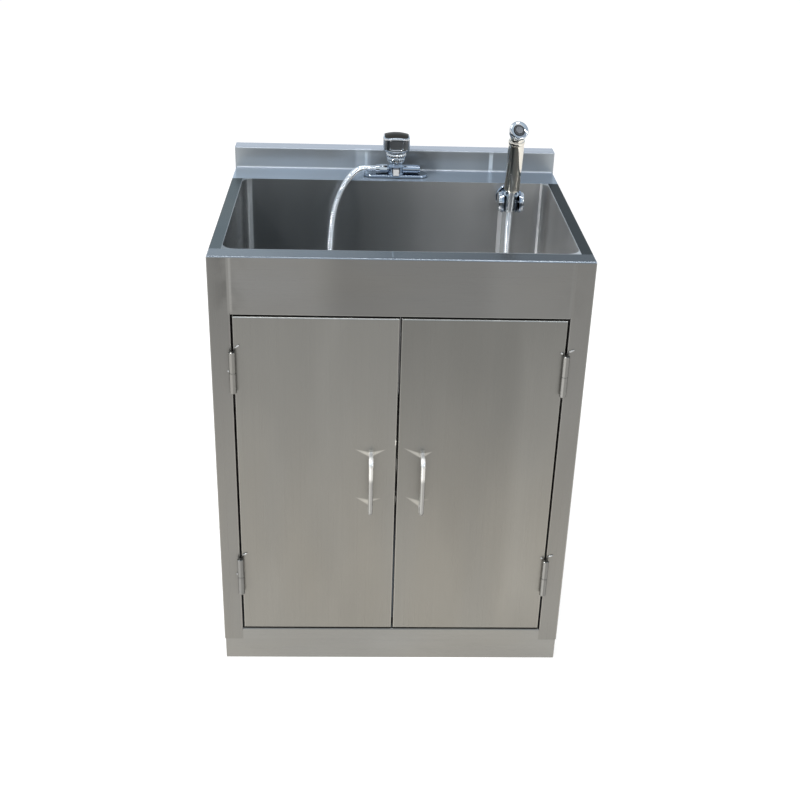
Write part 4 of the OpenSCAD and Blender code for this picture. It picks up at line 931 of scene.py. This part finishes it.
def makeSeamWelds(s):
    # the notches beside the apron and the bottom rail, filled with weld and ground flush
    radius, front, steps = s["radius"], s["front"], s["cornerSteps"]
    outline = [(seamX, front), (seamX + radius, front)]
    for i in range(1, steps + 1):
        turn = math.radians(90 * i / steps)
        outline.append((seamX + radius - radius * math.sin(turn),
                        front + radius - radius * math.cos(turn)))
    for side, name in ((-1, "left"), (1, "right")):
        for label, levels in s["heights"].items():
            bm = bmesh.new()
            closeRings(bm, [[bm.verts.new((side * x, y, z)) for x, y in outline] for z in levels])
            weld = pieceFrom(name + label + "SeamWeld", bm)
            finishPiece(weld, "post")
            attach(weld, "cabinet")


tackSettings = {
    "size": (0.0016, 0.0018),         # half depth, half height
    "places": {                       # beside each hinge barrel: x, z, half length, lean in degrees
        "left": ((-0.3010, 0.7245, 0.0058, 34), (-0.3175, 0.674, 0.0022, 0),
                 (-0.3010, 0.2645, 0.0058, 30), (-0.3175, 0.216, 0.0022, 0)),
        "right": ((0.3190, 0.7240, 0.0060, 26), (0.3015, 0.7190, 0.0030, -38),
                  (0.3190, 0.2645, 0.0056, 22), (0.3015, 0.2590, 0.0030, -34)),
    },
    "front": -0.2812,
    "hingeX": 0.3095,                 # beads nearer the middle than this ride on the doors
    "wobble": 0.08,
}


def makeTackWelds(s):
    # short beads that hold the hinge leaves
    for side, spots in s["places"].items():
        for number, (x, z, halfLength, lean) in enumerate(spots):
            bm = bmesh.new()
            bmesh.ops.create_icosphere(bm, subdivisions=3, radius=1.0)
            for vert in bm.verts:
                swell = math.sin(5 * vert.co.x + 2 * number) * math.cos(6 * vert.co.z)
                vert.co = Vector((vert.co.x * halfLength, vert.co.y * s["size"][0],
                                  vert.co.z * s["size"][1])) * (1 + s["wobble"] * swell)
            place = (Matrix.Translation((x, s["front"], z))
                     @ Matrix.Rotation(math.radians(-lean), 4, "Y"))
            bmesh.ops.transform(bm, matrix=place, verts=bm.verts)
            bead = pieceFrom(f"{side}HingeTack{number + 1}", bm, sharpAngle=60)
            finishPiece(bead, "weld")
            inside = abs(x) < s["hingeX"]
            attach(bead, side + "_door" if inside else "cabinet")


makeKnob(knobSettings)
makeBonnet(tapSettings)
makeHandset(handsetSettings)
makeSeamWelds(seamWeldSettings)
makeTackWelds(tackSettings)
print("turned and cast pieces made")


studio = {
    "floorColour": (0.80, 0.80, 0.80),
    "floorHalf": 30,
    "floorDrop": 0.0002,
    "floorGlow": 0.62,     # seen by the camera and in reflections only, so that the paper is white
    "ambient": 0.48,
    "skyLow": (0.05, (1, 1, 1)),              # how far up, colour
    "skyMiddle": (0.34, (0.66, 0.80, 0.93)),
    "skyHigh": (0.95, (0.45, 0.52, 0.62)),
    "lamps": {                                # place, size, power
        "keyLamp": ((-2.2, -1.5, 3.9), (0.5, 0.5), 75),
        "fillLamp": ((2.6, -2.6, 2.6), (1.0, 1.0), 26),
        "stripLamp": ((0.0, -0.7, 3.3), (2.4, 0.25), 14),
    },
    "aim": (0.0, 0.0, 0.9),
}


def makeSeenNode(tree):
    # 1 for camera, reflected and transmitted rays, 0 for the light that falls on the object
    path = addNode(tree, "ShaderNodeLightPath").outputs
    seen = mathNode(tree, "MAXIMUM", path["Is Camera Ray"], path["Is Glossy Ray"])
    return mathNode(tree, "MAXIMUM", seen, path["Is Transmission Ray"]), path


def makeFloor(s):
    bm = bmesh.new()
    bmesh.ops.create_grid(bm, x_segments=1, y_segments=1, size=s["floorHalf"])
    floor = pieceFrom("studioFloor", bm)
    floor.location.z = -s["floorDrop"]
    material, tree, shader = newMaterial("floorPaper", s["floorColour"], 0.0, 0.9)
    seen, _ = makeSeenNode(tree)
    setSockets(tree, shader, {
        "Specular IOR Level": 0.0,
        "Emission Color": (1, 1, 1, 1),
        "Emission Strength": mathNode(tree, "MULTIPLY", seen, s["floorGlow"]),
    })
    floor.data.materials.append(material)


def makeLamp(name, place, size, power, aim):
    data = bpy.data.lights.new(name, "AREA")
    data.shape = "RECTANGLE"
    data.size, data.size_y = size
    data.energy = power
    lamp = bpy.data.objects.new(name, data)
    lamp.location = place
    lamp.rotation_euler = (Vector(aim) - Vector(place)).to_track_quat("-Z", "Y").to_euler()
    bpy.context.scene.collection.objects.link(lamp)


def makeWorld(s):
    world = bpy.data.worlds.new("studioAir")
    bpy.context.scene.world = world
    world.use_nodes = True
    tree = world.node_tree
    tree.nodes.clear()
    upward = splitVector(tree, coordinate(tree, "Generated"))[2]
    sky = addNode(tree, "ShaderNodeValToRGB", {"Fac": upward})
    stops = sky.color_ramp.elements
    for stop, (position, colour) in zip(stops, (s["skyLow"], s["skyHigh"])):
        stop.position = position
        stop.color = (*colour, 1)
    position, colour = s["skyMiddle"]
    stops.new(position).color = (*colour, 1)
    seen, path = makeSeenNode(tree)
    paper = blendColours(tree, path["Is Camera Ray"], sky.outputs["Color"], (1, 1, 1))
    backdrop = addNode(tree, "ShaderNodeBackground", {"Color": paper, "Strength": 1.0})
    ambient = addNode(tree, "ShaderNodeBackground", {"Color": (1, 1, 1, 1),
                                                     "Strength": s["ambient"]})
    mix = addNode(tree, "ShaderNodeMixShader", {0: seen, 1: ambient.outputs[0],
                                                2: backdrop.outputs[0]})
    addNode(tree, "ShaderNodeOutputWorld", {"Surface": mix.outputs[0]})


makeFloor(studio)
makeWorld(studio)
for name, lamp in studio["lamps"].items():
    makeLamp(name, *lamp, studio["aim"])
bpy.context.scene.view_settings.view_transform = "Standard"
print("studio made")
